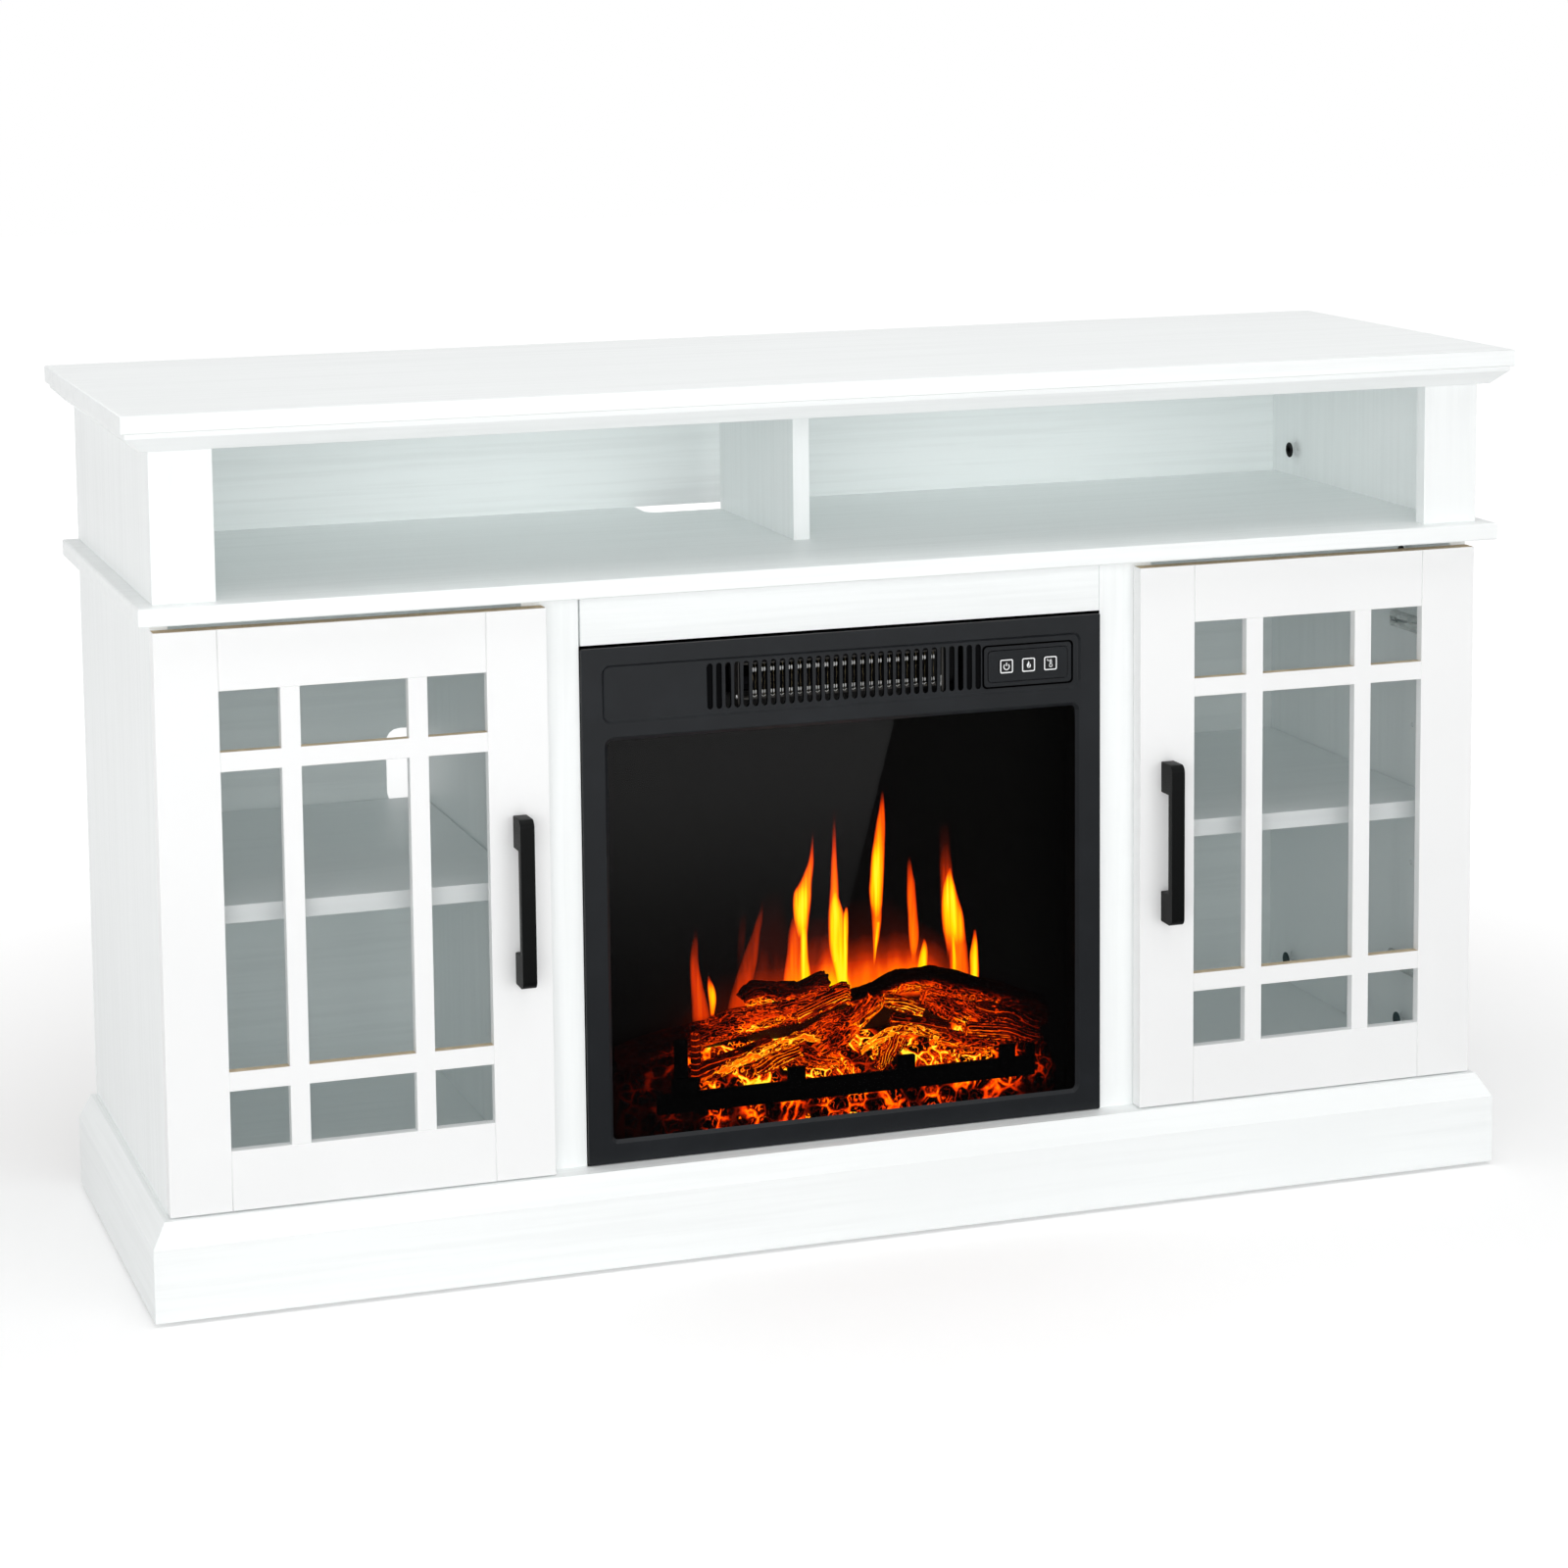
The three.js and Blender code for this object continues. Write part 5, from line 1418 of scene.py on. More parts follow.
def flame_sign(shape, middle, front, back):
    """A solid flame with a small second tongue."""
    x, z = middle
    tall = ((0.1, 3.3), (-0.3, 2.2), (-1.2, 0.9), (-1.6, -0.3), (-1.3, -1.6), (-0.5, -2.7))
    tall += ((0.1, -2.9), (-0.2, -1.6), (0.3, -0.4), (0.8, 0.9), (0.7, 2.2))
    low = ((1.7, 0.9), (1.0, -0.4), (0.6, -1.5), (0.8, -2.8), (1.8, -2.2), (2.1, -1.0), (1.9, 0.1))
    for outline in (tall, low):
        plate(shape, [(u * MM, v * MM) for u, v in outline], (x, z), front, back)


def heat_sign(shape, middle, front, back):
    """A thermometer with two rising marks."""
    x, z = middle
    bulb = arc_points((x + 0.3 * MM, z - 1.9 * MM), 1.3 * MM, 28, 332, 20)
    stem = arc_points((x + 0.3 * MM, z + 2.4 * MM), 0.62 * MM, -90, 90, 8)
    stroke(shape, [*bulb, *stem, bulb[0]], 0.6 * MM, front, back)
    for left, low in ((-1.5, 1.6), (-2.6, 2.2)):
        start = (x + left * MM, z + low * MM)
        stroke(shape, [start, (start[0] - 0.3 * MM, start[1] + 1.5 * MM)], 0.55 * MM, front, back)


# Heater: middle of the first pair of wires, floors of the notched strips, foot of the wires
FIRST_WIRE = -76.7 * MM
STRIP_FLOORS = (467.4 * MM, 497.0 * MM)
WIRE_FOOT = 468.4 * MM
WIRE_LENGTH = 29.0 * MM
WIRE_DEPTH = -147.2 * MM
BEAD_DEPTH = -148.2 * MM
END_BOARD = 1.5 * MM
LUG_SPOTS = ((-90.6 * MM, 469.5 * MM), (90.6 * MM, 468.0 * MM))
LUG_PROFILE = ((0, 2), (2.4, 2), (2.6, 1), (2.6, -0.5), (1.5, -1.1), (1.5, -2.4), (0, -2.8))

# Each row of beads: height in mm, scale, tilt
BEAD_ROWS = (
    (492.2, (0.75, 0.6, 1.95), 0.0),
    (473.2, (0.62, 0.5, 1.75), 0.0),
    (469.6, (0.35, 0.35, 1.3), 0.9),
)


class STAND_OT_heater(bpy.types.Operator):
    """Laces the heater's ribbon wires between its notched strips"""

    bl_idname = "stand.heater"
    bl_label = "Heater"
    bl_icon = "MOD_WIREFRAME"

    def execute(self, context):
        heater = context.scene.stand_heater
        mica = powder_coat("mica", (0.07, 0.066, 0.06), 0.5, 300.0, 0.4)
        strips = self.strips(heater)
        piece("heater_strips", strips, "cabinet", [mica], ["heater_element"])
        sizes = {
            "Count": heater.wires,
            "Pitch": float(heater.pitch),
            "Split": float(heater.split),
            "First": FIRST_WIRE,
            "Material": plated("heater_wire", (0.15, 0.125, 0.07), 0.32, (60.0, 60.0, 500.0)),
        }
        piece("heater_wires", self.wires(sizes), "cabinet", None)
        # The crimps are painted white: a painted highlight of shiny metal
        sizes["Material"] = powder_coat("bead_white", (0.93, 0.93, 0.91), 0.3, 900.0, 0.5)
        piece("heater_beads", self.beads(sizes), "cabinet", None)
        shiny = plated("lug_metal", (0.9, 0.9, 0.88), 0.3)
        piece("heater_lugs", self.lugs(), "cabinet", [shiny], smooth=40)
        return {"FINISHED"}

    @staticmethod
    def lugs():
        """The two terminals, each with its strip upwards."""
        shape = bmesh.new()
        for x, z in LUG_SPOTS:
            lug = turned(LUG_PROFILE, 20, Vector((x, -147.5 * MM, z)), lying=True)
            shape.from_mesh(as_mesh(lug, "lug"))
            line = [(x, z + 1 * MM), (x, z + 8 * MM)]
            stroke(shape, line, 1.6 * MM, -150.4 * MM, -149.8 * MM)
        outward(shape)
        return as_mesh(shape, "heater_lugs")

    @staticmethod
    def strips(heater):
        """Two end boards and two strips notched where the wires turn."""
        shape = bmesh.new()
        low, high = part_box("heater_element")
        middle, half, tall = face_of("heater_element")
        for x in (low.x + END_BOARD / 2, high.x - END_BOARD / 2):
            outline = rounded_outline(END_BOARD / 2, tall, 0.4 * MM, 2)
            plate(shape, outline, (x, middle[1]), low.y, high.y)
        left, right = low.x + 1.6 * MM, high.x - 1.6 * MM
        front, notch, rear = low.y + 1.5 * MM, low.y + 2.6 * MM, high.y - 1.5 * MM
        outline = [(left, front)]
        for i in range(heater.wires):
            for side in (-1, 1):
                x = FIRST_WIRE + i * heater.pitch + side * heater.split / 2
                outline += [(x - 0.5 * MM, front), (x - 0.4 * MM, notch)]
                outline += [(x + 0.4 * MM, notch), (x + 0.5 * MM, front)]
        outline += [(right, front), (right, rear), (left, rear)]
        for floor in STRIP_FLOORS:
            base, top = [
                [shape.verts.new((x, y, z)) for x, y in outline] for z in (floor, floor + 1.4 * MM)
            ]
            shape.faces.new(base)
            shape.faces.new(top)
            band(shape, base, top)
        outward(shape)
        return as_mesh(shape, "heater_strips")

    @staticmethod
    def row(g, side, height, depth):
        """A row of places, one for each pair of wires, on one side of the pair."""
        shift = g.given("First") + g.given("Split") * (side / 2)
        start = g.node("ShaderNodeCombineXYZ", None, {0: shift, 1: depth, 2: height})
        step = g.node("ShaderNodeCombineXYZ", None, {0: g.given("Pitch"), 1: 0.0, 2: 0.0})
        settings = {"mode": "OFFSET", "count_mode": "TOTAL"}
        values = {"Count": g.given("Count"), "Start Location": start, "Offset": step}
        return g.node("GeometryNodeMeshLine", settings, values)

    def wires(self, sizes):
        """Thin flat wires that wander a little between the strips."""
        g = Growth("heater_wires", sizes)
        values = {"Start": (0, 0, 0.0), "End": (0, 0, WIRE_LENGTH)}
        line = g.node("GeometryNodeCurvePrimitiveLine", None, values)
        line = g.node("GeometryNodeResampleCurve", None, {"Curve": line, "Count": 36})
        values = {"Width": 0.45 * MM, "Height": 0.3 * MM}
        ribbon = g.node("GeometryNodeCurvePrimitiveQuadrilateral", None, values)
        values = {"Curve": line, "Profile Curve": ribbon, "Fill Caps": True}
        wire = g.node("GeometryNodeCurveToMesh", None, values)
        both = g.node("GeometryNodeJoinGeometry", output=None)
        for side in (-1, 1):
            row = self.row(g, side, WIRE_FOOT, WIRE_DEPTH)
            spread = g.node("GeometryNodeInstanceOnPoints", None, {0: row, "Instance": wire})
            g.tree.links.new(spread.socket, both.inputs[0])
        real = g.node("GeometryNodeRealizeInstances", None, {0: Signal(g, both.outputs[0])})
        place = g.node("GeometryNodeInputPosition")
        stretched = g.vector("MULTIPLY", place, (330.0, 330.0, 210.0))
        values = {"Vector": stretched, "Scale": 1.0, "Detail": 1.0}
        drift = g.node("ShaderNodeTexNoise", None, values, "Color")
        drift = g.vector("SUBTRACT", drift, (0.5, 0.5, 0.5))
        shove = g.vector("MULTIPLY", drift, (1.6 * MM, 1.6 * MM, 0.0))
        g.end(g.node("GeometryNodeSetPosition", None, {"Geometry": real, "Offset": shove}))
        return g.grow("heater_wires")

    def beads(self, sizes):
        """Small crimps that clamp each wire near the strips, painted white as the highlight of
        their shiny metal.
        """
        g = Growth("heater_beads", sizes)
        both = g.node("GeometryNodeJoinGeometry", output=None)
        values = {"Segments": 12, "Rings": 8, "Radius": 1 * MM}
        bead = g.node("GeometryNodeMeshUVSphere", None, values)
        for height, scale, tilt in BEAD_ROWS:
            for side in (-1, 1):
                row = self.row(g, side * 0.8, height * MM, BEAD_DEPTH)
                turn = (0.0, side * tilt, 0.0)
                values = {0: row, "Instance": bead, "Scale": scale, "Rotation": turn}
                spread = g.node("GeometryNodeInstanceOnPoints", None, values)
                g.tree.links.new(spread.socket, both.inputs[0])
        g.end(Signal(g, both.outputs[0]))
        return g.grow("heater_beads")


class STAND_OT_blower(bpy.types.Operator):
    """Makes the blower wheel and its motor"""

    bl_idname = "stand.blower"
    bl_label = "Blower"
    bl_icon = "FORCE_VORTEX"

    def execute(self, context):
        steel = plated("wheel_steel", (0.012, 0.012, 0.014), 0.5, (60.0, 500.0, 500.0))
        wheel = "blower_wheel"
        mesh = as_mesh(merged(wheel), wheel)
        piece(wheel + "_steel", mesh, "blower_drum", [steel], [wheel], 25)
        dark = powder_coat("motor_dark", (0.03, 0.031, 0.033), 0.5)
        mesh = eased("blower_motor", 0.4 * MM, 6 * MM, 2)
        piece("blower_motor_case", mesh, "cabinet", [dark], ["blower_motor"])
        mesh = eased("rod_motor", 0.4 * MM, 2 * MM, 2)
        piece("rod_motor_case", mesh, "cabinet", [dark], ["rod_motor"], 30)
        return {"FINISHED"}


HOUSING_REAR = -25.0 * MM


class STAND_OT_housing(bpy.types.Operator):
    """Gives the folded housing its zinc outside and black inside"""

    bl_idname = "stand.housing"
    bl_label = "Housing"
    bl_icon = "MOD_SOLIDIFY"

    def execute(self, context):
        low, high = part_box("housing")
        outside = Vector((high.x, HOUSING_REAR, high.z))
        zinc = zinc_sheet("zinc_sheet", low, outside, (0.012, 0.011, 0.011))
        mesh = as_mesh(merged("housing"), "housing")
        piece("housing_shell", mesh, "cabinet", [zinc], ["housing"])
        return {"FINISHED"}


class STAND_OT_flames(bpy.types.Operator):
    """Makes the screen with its flames, the foil rod and the smoked glass"""

    bl_idname = "stand.flames"
    bl_label = "Flames"
    bl_icon = "LIGHT_SUN"

    def execute(self, context):
        fire = context.scene.stand_fire
        screen = flame_screen("flame_screen", fire.flames)
        mesh = eased("flame_screen", 0.3 * MM)
        piece("flame_screen_sheet", mesh, "cabinet", [screen], ["flame_screen"])
        foil = foil_metal("foil", (0.85, 0.72, 0.45))
        mesh = as_mesh(merged("flame_rod"), "flame_rod")
        piece("flame_rod_foil", mesh, "flame_spindle", [foil], ["flame_rod"])
        smoked = clear_pane("smoked_glass", (0.001, 0.001, 0.001), fire.smoke, 0.002, 0.17, 0.002)
        mesh = eased("fire_glass", 0.3 * MM)
        piece("fire_glass_pane", mesh, "cabinet", [smoked], ["fire_glass"])
        return {"FINISHED"}


# Hearth: how hot it is across and up, in mm
HEAT_ACROSS = (
    (-200, 0.1), (-165, 0.2), (-142, 0.34), (-122, 0.82), (-95, 1), (125, 1), (150, 0.86),
    (170, 0.5), (186, 0.34), (200, 0.1),
)
HEAT_UP = (
    (88, 0.28), (98, 0.58), (112, 0.74), (128, 1.06), (150, 1.04), (166, 1.0), (185, 0.96),
    (202, 0.88), (222, 0.6),
)


def between(table, value):
    """Reads a table of places and amounts, straight between its rows."""
    for (low, first), (high, last) in zip(table, table[1:]):
        if value <= high:
            return first + (last - first) * max(value - low, 0) / (high - low)
    return table[-1][1]


def hearth_heat(x, z):
    return between(HEAT_ACROSS, x) * between(HEAT_UP, z)


def smooth_share(value, low, high):
    share = min(max((value - low) / (high - low), 0), 1)
    return share * share * (3 - 2 * share)


def seam(value, width):
    """One on a crack, and nothing away from it."""
    return math.exp(-((value / width) ** 2))


# Bank of embers: start of its noise, which the clock would choose otherwise, points across and
# up it, the share of them on its upright front, then its half width, front and foot in mm
BED_SEED = 1796000788
BED_COUNT = 440
BED_STEPS = 100
BED_WALL = 0.3
BED_HALF = 196
BED_FRONT = -148.5
BED_FOOT = 92

# Where the loose coals lie: corners in mm, and its rough area in square metres
BANK_CORNERS = ((-150, -146, 98), (165, -146, 98), (150, -134, 148), (-120, -134, 148))
BANK_AREA = 0.29 * 0.051


class STAND_OT_logs(bpy.types.Operator):
    """Lays the ember bed, the charred logs, the coals and the grate"""

    bl_idname = "stand.logs"
    bl_label = "Logs and embers"
    bl_icon = "OUTLINER_DATA_HAIR"

    def execute(self, context):
        fire = context.scene.stand_fire
        bed = ember_bed("ember_bed", fire.embers)
        bark = charred_bark("charred_bark", fire.embers)
        black = powder_coat("grate_black", (0.004, 0.0036, 0.0036), 0.6, shine=0.05)
        piece("ember_bed", self.bed(), "cabinet", [bed], ["log_set"], 60)
        for i, log in enumerate(LOGS):
            mesh = log_mesh(f"log_{i + 1}", *log, i)
            piece(f"log_{i + 1}", mesh, "cabinet", [bark], smooth=60)
        piece("grate", grate_mesh(), "cabinet", [black])
        piece("loose_coals", self.coals(fire, bed), "cabinet", None)
        return {"FINISHED"}

    @staticmethod
    def bed():
        """A bank of coals that climbs from the grate to the screen."""
        low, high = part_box("log_set")
        noise.seed_set(BED_SEED)
        shape = bmesh.new()
        layer = shape.verts.layers.float.new("hot")
        kept = shape.verts.layers.float_vector.new("grain")
        columns = []
        for i in range(BED_COUNT + 1):
            x = (low.x + (high.x - low.x) * i / BED_COUNT) / MM
            droop = 1 - 0.25 * abs(x / BED_HALF) ** 4
            column = []
            for j in range(BED_STEPS + 1):
                share = j / BED_STEPS
                slope = max(share - BED_WALL, 0) / (1 - BED_WALL)
                rise = min(share / BED_WALL, 1) * 38 + 32 * slope**0.8
                spot = Vector((x, BED_FRONT + 37.5 * slope, BED_FOOT + rise * droop))
                warp = noise.noise_vector(spot * 0.05) * 7 + noise.noise_vector(spot * 0.16) * 2
                gaps, hubs = noise.voronoi((spot + warp) * 0.066)
                rim = gaps[1] - gaps[0]
                tone = noise.cell(hubs[0] * 37.0)
                curl = noise.noise(spot * 0.17) + 0.5 * noise.noise(spot * 0.4)
                inner = seam(curl, 0.13) * smooth_share(rim, 0.05, 0.3)
                lump = smooth_share(rim, 0, 0.5)
                draught = smooth_share(noise.noise(spot * 0.055 + Vector((3, 1, 7))), -0.32, 0.2)
                out = Vector((0, -0.75, 0.66)) * (lump * 4.5 - 2.2 - inner * 0.8)
                vert = shape.verts.new((spot + out) * MM)
                vert[layer] = (0.34 + 0.72 * draught) * hearth_heat(x, spot.z)
                vert[kept] = (rim, curl, 0.55 * tone * draught)
                column.append(vert)
            for y in (-110.4, -152.4):
                column.append(shape.verts.new((x * MM, y * MM, low.z + 0.2 * MM)))
            columns.append(column)
        for left, right in zip(columns, columns[1:]):
            for (a, b), (c, d) in zip(looped(left), looped(right)):
                shape.faces.new((a, c, d, b))
        shape.faces.new(columns[0])
        shape.faces.new(list(reversed(columns[-1])))
        outward(shape)
        clamp_to(shape, "log_set")
        return as_mesh(shape, "ember_bed")

    @staticmethod
    def coals(fire, material):
        """Scatters rough lumps over the bank."""
        shape = bmesh.new()
        shape.faces.new([shape.verts.new(shade(corner, MM)) for corner in BANK_CORNERS])
        bank = as_mesh(shape, "bank")
        count, radius = float(fire.coals), float(fire.coal_size)
        sizes = {"Count": count, "Radius": radius, "Material": material}
        g = Growth("loose_coals", sizes)
        density = g.given("Count") / BANK_AREA
        values = {"Mesh": g.given("Geometry"), "Density": density, "Seed": 7}
        points = g.node("GeometryNodeDistributePointsOnFaces", None, values)
        lump = g.node("GeometryNodeMeshIcoSphere", None, {"Radius": 1.0, "Subdivisions": 4})
        whole = {"data_type": "FLOAT_VECTOR"}
        values = {0: (0, 0, 0), 1: (6.28, 6.28, 6.28), "Seed": 3}
        turn = g.node("FunctionNodeRandomValue", whole, values)
        values = {0: (0.5, 0.45, 0.35), 1: (1.2, 0.95, 0.8), "Seed": 5}
        stretch = g.node("FunctionNodeRandomValue", whole, values)
        size = g.vector("SCALE", stretch)
        g.tree.links.new(g.given("Radius").socket, size.socket.node.inputs["Scale"])
        values = {0: points, "Instance": lump, "Rotation": turn, "Scale": size}
        spread = g.node("GeometryNodeInstanceOnPoints", None, values)
        real = g.node("GeometryNodeRealizeInstances", None, {0: spread})
        place = g.node("GeometryNodeInputPosition")
        values = {"Vector": place, "Scale": 190.0, "Detail": 2.0}
        rough = g.node("ShaderNodeTexNoise", None, values, "Color")
        shove = g.vector("SCALE", g.vector("SUBTRACT", rough, (0.5, 0.5, 0.5)))
        shove.socket.node.inputs["Scale"].default_value = 4 * MM
        moved = g.node("GeometryNodeSetPosition", None, {"Geometry": real, "Offset": shove})
        values = {"Vector": place, "Scale": 150.0, "Detail": 3.0}
        crust = g.node("ShaderNodeTexNoise", None, values, 0)
        ruffle = g.node("ShaderNodeTexNoise", None, {**values, "Scale": 320.0}, 0)
        across = g.node("ShaderNodeSeparateXYZ", None, {0: place}, 0)
        ends = {0: g.calc("ABSOLUTE", across), 1: 0.11, 2: 0.175, 3: 1.0, 4: 0.2}
        hot = g.node("ShaderNodeMapRange", None, ends)
        settings = {"data_type": "FLOAT", "domain": "POINT"}
        values = {"Geometry": moved, "Name": "hot", "Value": hot}
        warm = g.node("GeometryNodeStoreNamedAttribute", settings, values)
        rim = g.calc("ABSOLUTE", crust - 0.5) * 2.4
        grain = g.node("ShaderNodeCombineXYZ", None, {0: rim, 1: (ruffle - 0.5) * 3.0, 2: 0.16})
        settings = {"data_type": "FLOAT_VECTOR", "domain": "POINT"}
        values = {"Geometry": warm, "Name": "grain", "Value": grain}
        g.end(g.node("GeometryNodeStoreNamedAttribute", settings, values))
        return g.grow("loose_coals", bank)


# Each log: its kind, its glow, how black its top is, then points along its middle with a radius,
# in mm
LOGS = (
    (
        *("bark", 1.0, 0.35),
        ((-92, -124, 181, 9), (-62, -124, 189, 11.5), (-34, -124, 193, 12), (-8, -124, 198, 12)),
    ),
    (
        *("bark", 1.1, 0.75),
        (
            (-81, -122, 200, 9), (-72, -122, 206, 11), (-53, -122, 203, 11.5), (-31, -122, 202, 11),
            (-13, -122, 208.5, 10.5), (-6, -122, 209.5, 10.4),
        ),
    ),
    (
        *("split", 1.1, 0.35),
        ((-37, -131, 186.5, 9), (-14, -131, 195, 9), (7, -130, 201.5, 9), (11, -130, 202, 8)),
    ),
    (
        *("bark", 1.0, 0.35),
        (
            (-196, -128, 162, 12), (-164, -129, 170, 12.5), (-124, -130, 177, 12),
            (-92, -130, 184, 12), (-65, -130, 186.5, 12), (-38, -130, 187, 9),
        ),
    ),
    (
        *("plate", 0.75, 0.2),
        ((-130, -139, 147.5, 7.5), (-97, -139, 155.3, 8), (-62, -138, 166, 7.5)),
    ),
    (
        *("split", 1.0, 0.2),
        ((-79, -143, 145.5, 6.5), (-59, -143, 151.5, 8), (-39, -143, 158.5, 7.5)),
    ),
    (
        *("bark", 1.0, 0.3),
        ((-26, -134, 147, 8), (0, -134, 162, 10), (18, -133, 177.5, 10), (35, -131, 192, 9.5)),
    ),
    (
        *("bark", 1.0, 0.4),
        ((-26, -129, 167, 7), (-4.6, -128, 175, 8), (17, -128, 181.5, 8)),
    ),
    (
        *("split", 1.1, 0.1),
        ((42, -134, 192.5, 5.5), (59, -134, 187, 6.5), (78, -134, 180.5, 6)),
    ),
    (
        *("plate", 0.8, 0.5),
        ((48, -137, 176, 5.5), (73, -137, 169, 6.5), (98, -137, 164, 6)),
    ),
    (
        *("bark", 1.0, 0.95),
        (
            (14, -122, 192, 8), (40, -122, 197, 10), (61, -122, 204, 11.5), (88, -122, 203.5, 12),
            (118, -122, 195, 11.5), (154, -122, 183, 11), (194, -122, 169, 10),
        ),
    ),
    (
        *("bark", 1.0, 0.3),
        ((80, -130, 190, 9), (105, -131, 179, 11.5), (134, -132, 163, 11)),
    ),
    (
        *("plate", 0.75, 0.1),
        ((126, -137, 181, 6), (157, -137, 168, 7), (184, -136, 155, 6.5)),
    ),
    (
        *("split", 0.86, 0.3),
        ((116, -140, 163, 8.5), (149, -141, 156, 9.5), (182, -140, 148, 8)),
    ),
    (
        *("split", 1.0, 0.1),
        ((53, -144, 161.5, 9), (43, -145, 149.5, 7.5), (32, -146, 136, 4.5)),
    ),
    (
        *("ember", 1.06, 0.0),
        ((17, -143, 153, 4), (42, -143, 165, 4.8), (64, -143, 167.5, 4.8), (88, -143, 158, 3.6)),
    ),
    (
        *("ember", 1.06, 0.0),
        (
            (-126, -145, 139.5, 3.6), (-97, -145, 153.5, 4.4), (-70, -145, 162, 4.6),
            (-35, -144, 171, 4.4), (-20, -143, 166, 3.6),
        ),
    ),
    (
        *("bark", 0.8, 0.4),
        ((150, -128, 176, 10), (184, -128, 166, 11), (194, -128, 160, 10)),
    ),
    (
        *("bark", 0.95, 0.2),
        ((-60, -134, 158, 9), (-30, -135, 150, 9), (-2, -136, 143, 8)),
    ),
    (
        *("bark", 0.95, 0.2),
        ((88, -136, 156, 9), (112, -136, 149, 9), (140, -137, 143, 8)),
    ),
    (
        *("rungs", 1.1, 0.0),
        ((-133, -147, 142, 4.2), (-132.5, -147, 162, 4.4), (-132.8, -147, 183, 4.2)),
    ),
)


def grain_of(kind, around, turn, along, seed):
    """A log's skin at a place on it: crack, flake and fill, then its strength and its height."""
    ring = Vector((math.cos(turn), math.sin(turn), 0)) * around
    offset = Vector((seed * 13.1, seed * 7.7, seed * 5.3))
    cloud = noise.noise(ring * 0.05 + Vector((0, 0, along * 0.035)) + offset)
    patch = smooth_share(cloud, -0.3, 0.3)
    flake = noise.noise(Vector((ring.x * 0.6, ring.y * 0.6, along * 0.2)) + offset) * 0.8
    if kind == "bark":
        long = Vector((ring.x * 0.26, ring.y * 0.26, along * 0.065)) + offset
        value = noise.noise(long) + 0.45 * noise.noise(long * 2.2)
        fill = 0.46 * patch * smooth_share(value, -0.15, 0.35) + 0.12 * patch
        return (value, flake, fill), 0.55 + 0.5 * patch, 0.6 + value * 0.4 - seam(value, 0.12) * 0.9
    if kind == "rungs":
        value = math.sin(math.pi * along / 5.2) * 0.35
        return (value, 1, 0.3 * patch), 0.6 + 0.4 * patch, 0.5 - seam(value, 0.12) * 0.5
    if kind == "ember":
        value = noise.noise(Vector((ring.x * 0.3, ring.y * 0.3, along * 0.13)) + offset)
        fill = 0.62 - 0.55 * smooth_share(value, -0.1, 0.2)
        return (value * 1.3, flake * 1.2, fill), 1.0, 0.5 + value * 0.9
    pitch = 3.5 if kind == "split" else 6.5
    drift = noise.noise(Vector((turn * 1.4, along * 0.045, seed * 3.0)))
    phase = turn * around / pitch + 0.5 * drift
    fade = smooth_share(noise.noise(Vector((round(phase) * 3.7, along * 0.07, seed))), -0.55, 0.0)
    value = math.sin(math.pi * phase) * (0.3 if kind == "split" else 0.55)
    return (value, flake + 0.35, 0.3 * patch), 0.5 + 0.5 * fade, 0.55 - seam(value, 0.12) * 0.8


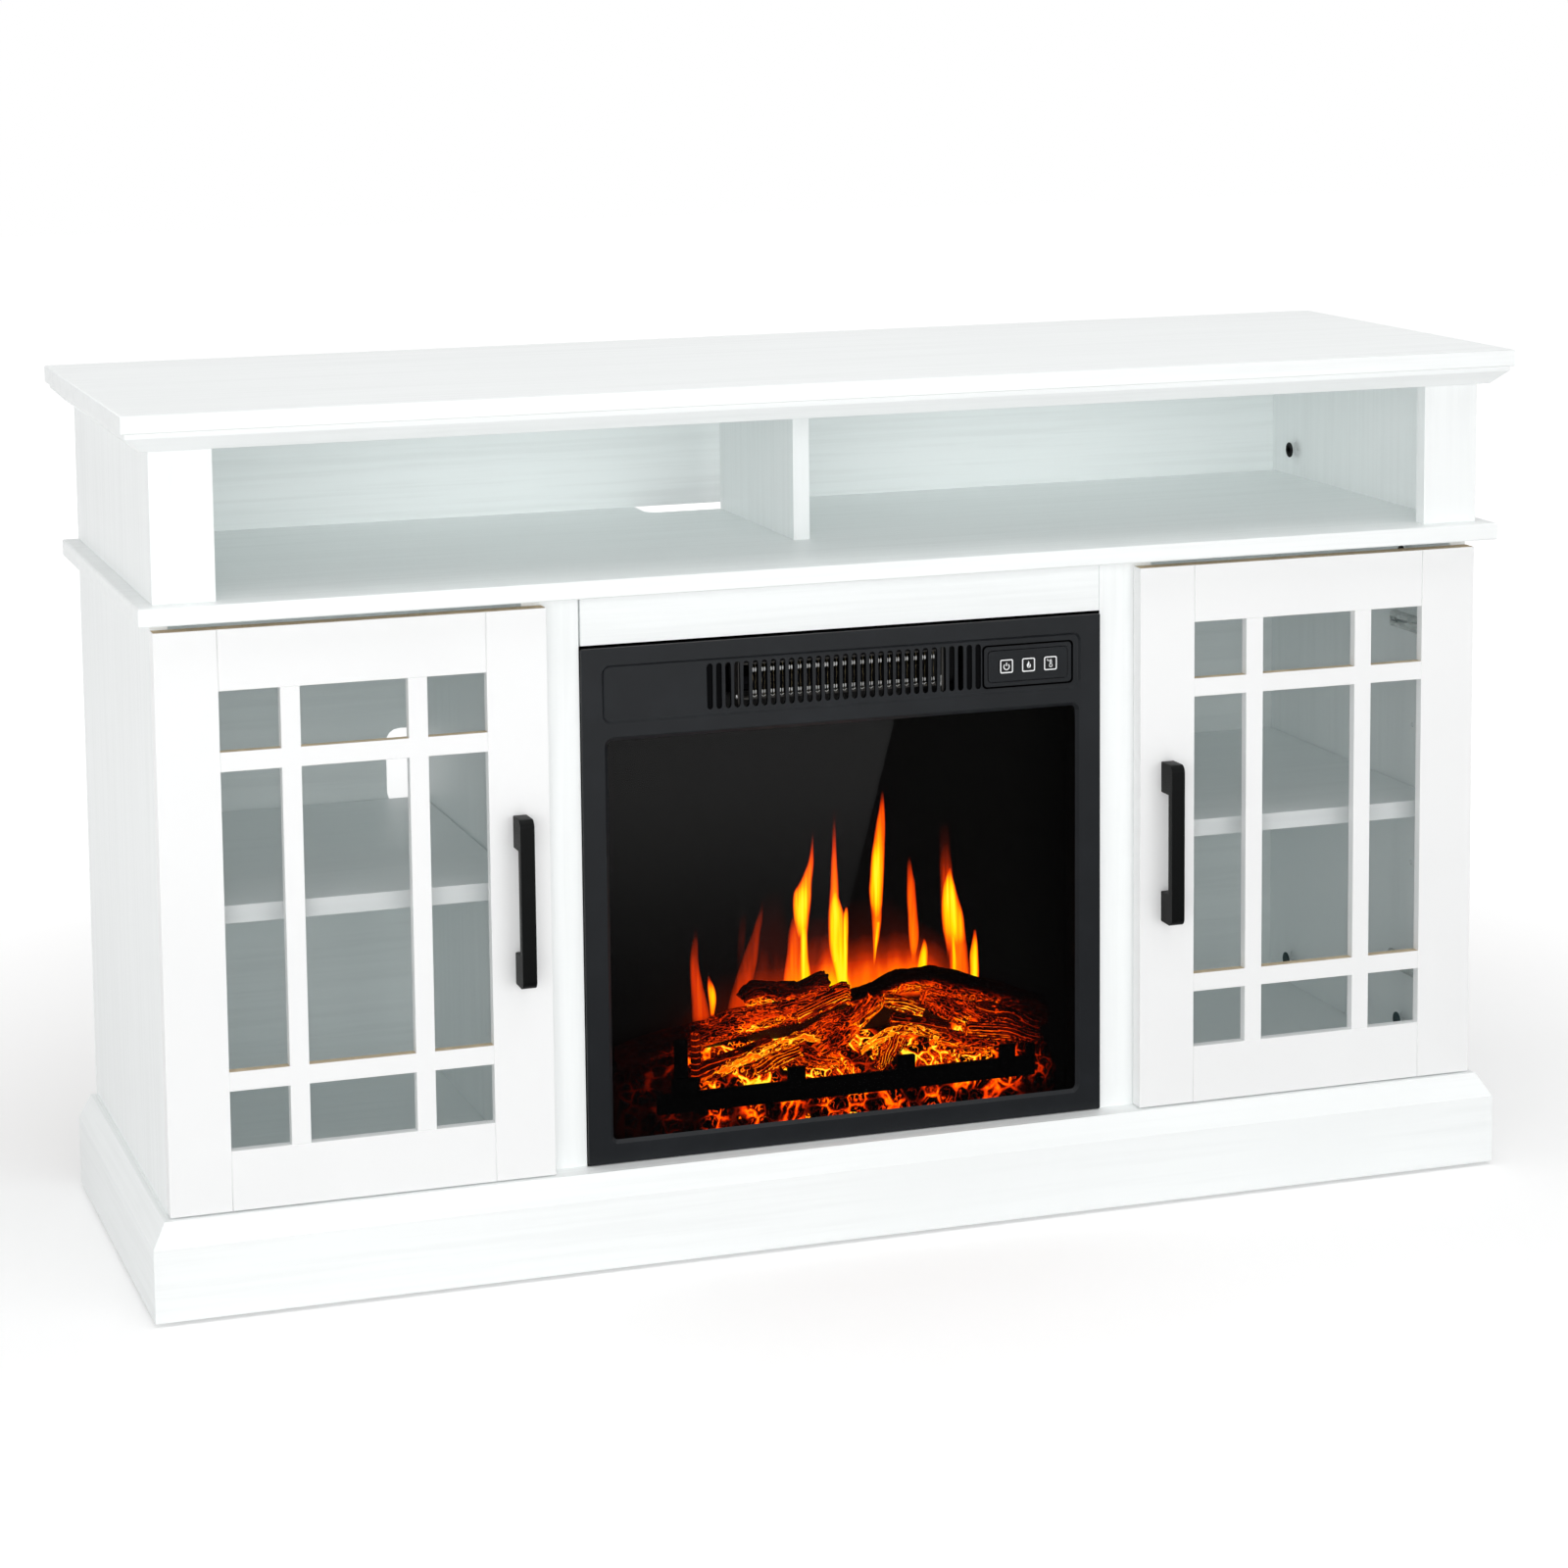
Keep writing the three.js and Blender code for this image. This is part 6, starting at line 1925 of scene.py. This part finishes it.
def log_mesh(name, kind, glow, char, points, seed):
    """A charred log along a bent middle: its cracks are cut into it and hold its heat."""
    middles = [Vector(point[:3]) for point in points]
    radii = [point[3] for point in points]
    lengths = [0.0]
    for a, b in zip(middles, middles[1:]):
        lengths.append(lengths[-1] + (b - a).length)
    total = lengths[-1]
    rings = round(total / 0.9)
    sides = round(max(radii) * 2 * math.pi / 1.05)
    back = Vector((0, 1, 0))

    def at(share):
        goal = min(max(share, 0), 1) * total
        i = next(i for i in range(len(lengths) - 1) if goal <= lengths[i + 1] + MERGE)
        part = (goal - lengths[i]) / (lengths[i + 1] - lengths[i])
        ease = part * part * (3 - 2 * part)
        return middles[i].lerp(middles[i + 1], part), radii[i] + (radii[i + 1] - radii[i]) * ease

    shape = bmesh.new()
    uv = shape.loops.layers.uv.new("along")
    layer = shape.verts.layers.float.new("hot")
    kept = shape.verts.layers.float_vector.new("grain")
    grid = []
    for i in range(rings + 1):
        share = i / rings
        centre, radius = at(share)
        ahead = (at(share + 0.06)[0] - at(share - 0.06)[0]).normalized()
        up = ahead.cross(back).normalized()
        if up.z < 0:
            up = -up
        rear = up.cross(ahead).normalized()
        if rear.y < 0:
            rear = -rear
        knot = noise.noise(Vector((seed * 5.0, share * total * 0.03, 0)))
        ragged = 1.8 * noise.noise(Vector((seed * 3.0, 0, 1)))
        ring = []
        for j in range(sides):
            turn = 2 * math.pi * j / sides
            out = rear * math.cos(turn) + up * math.sin(turn)
            fields, hot, height = grain_of(kind, radius, turn, share * total, seed)
            bulge = noise.noise(out * 1.6 + Vector((seed * 7.3, seed * 3.1, share * total * 0.03)))
            corner = 0.09 * math.cos(4 * turn + seed) if kind in ("split", "plate") else 0
            reach = radius * (0.94 + 0.16 * bulge + 0.12 * knot + corner) + (height - 0.5) * 2.2
            end = min(i, rings - i)
            jag = ragged + 2.6 * noise.noise(Vector((math.cos(turn) * 2, math.sin(turn) * 2, seed)))
            slip = ahead * jag * (1 if i > rings / 2 else -1) if end < 4 else Vector()
            vert = shape.verts.new((centre + out * reach + slip) * MM)
            soot = char * smooth_share(out.z, -0.35, 0.45)
            vert[layer] = hot * glow * (1 - soot) * hearth_heat(vert.co.x / MM, vert.co.z / MM)
            vert[kept] = fields
            ring.append(vert)
        grid.append(ring)
    hubs = []
    for ring in (grid[0], grid[-1]):
        hub = shape.verts.new(sum((vert.co for vert in ring), Vector()) / sides)
        hub[layer] = 0.6 * glow * hearth_heat(hub.co.x / MM, hub.co.z / MM)
        hub[kept] = (0.3, 0.1, 0.5)
        hubs.append(hub)
    for i in range(rings):
        for j in range(sides):
            k = (j + 1) % sides
            face = shape.faces.new((grid[i][j], grid[i][k], grid[i + 1][k], grid[i + 1][j]))
            spots = ((i, j), (i, j + 1), (i + 1, j + 1), (i + 1, j))
            for loop, (u, v) in zip(face.loops, spots):
                loop[uv].uv = (v / sides, u / rings * total / 100)
    for hub, ring in zip(hubs, (grid[0], grid[-1])):
        for a, b in looped(ring):
            face = shape.faces.new((a, b, hub))
            for loop in face.loops:
                away = loop.vert.co - hub.co
                loop[uv].uv = (away.x / 0.05, away.z / 0.05)
    outward(shape)
    clamp_to(shape, "log_set")
    return as_mesh(shape, name)


def clamp_to(shape, node):
    """Keeps every point inside a CAD node's box."""
    low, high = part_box(node)
    for vert in shape.verts:
        for axis in range(3):
            vert.co[axis] = min(max(vert.co[axis], low[axis]), high[axis])


# Each bar of the grate: left, right, foot, head and front, in mm
GRATE_BARS = (
    (-168.5, 175, 117.5, 135, -152.8),
    (166.6, 175, 130, 146, -152.8),
    (-155, -131, 130, 147, -152.8),
    (-52, -36, 130, 147, -152.8),
    (47.6, 63.8, 130, 147, -152.8),
    (142, 156.6, 130, 147, -152.8),
    (-151.5, -140, 128, 180, -149.4),
)


def grate_mesh():
    """The grate's front bar with its lugs, its end and the upright behind its left lug."""
    shape = bmesh.new()
    for left, right, low, high, front in GRATE_BARS:
        outline = rounded_outline((right - left) / 2 * MM, (high - low) / 2 * MM, 1.2 * MM, 3)
        centre = ((left + right) / 2 * MM, (low + high) / 2 * MM)
        plate(shape, outline, centre, front * MM, (front + 3) * MM)
    outward(shape)
    return as_mesh(shape, "grate")


# Panel


class STAND_PT_panel(bpy.types.Panel):
    """Lists the settings and the steps that build the stand"""

    bl_label = "Fireplace Television Stand"
    bl_idname = "STAND_PT_panel"
    bl_space_type = "VIEW_3D"
    bl_region_type = "UI"
    bl_category = "Fire Stand"

    def draw(self, context):
        layout = self.layout
        for key in GROUPS:
            group = getattr(context.scene, key)
            box = layout.box()
            for name in group.__annotations__:
                box.prop(group, name)
        column = layout.column(align=True)
        for step in STEPS:
            column.operator(step.bl_idname, icon=step.bl_icon)


STEPS = (
    STAND_OT_stage,
    STAND_OT_boards,
    STAND_OT_backs,
    STAND_OT_doors,
    STAND_OT_hinges,
    STAND_OT_fittings,
    STAND_OT_feet,
    STAND_OT_front,
    STAND_OT_buttons,
    STAND_OT_heater,
    STAND_OT_blower,
    STAND_OT_housing,
    STAND_OT_flames,
    STAND_OT_logs,
)
GROUPS = {
    "stand_finish": FinishSettings,
    "stand_fire": FireSettings,
    "stand_stage": StageSettings,
    "stand_heater": HeaterSettings,
}
CLASSES = (*GROUPS.values(), *STEPS, STAND_PT_panel)


def register():
    for cls in CLASSES:
        bpy.utils.register_class(cls)
    for key, group in GROUPS.items():
        setattr(bpy.types.Scene, key, bpy.props.PointerProperty(type=group))


def unregister():
    for key in GROUPS:
        delattr(bpy.types.Scene, key)
    for cls in reversed(CLASSES):
        bpy.utils.unregister_class(cls)


def main():
    register()
    for step in STEPS:
        family, name = step.bl_idname.split(".")
        getattr(getattr(bpy.ops, family), name)()


if __name__ == "__main__":
    main()
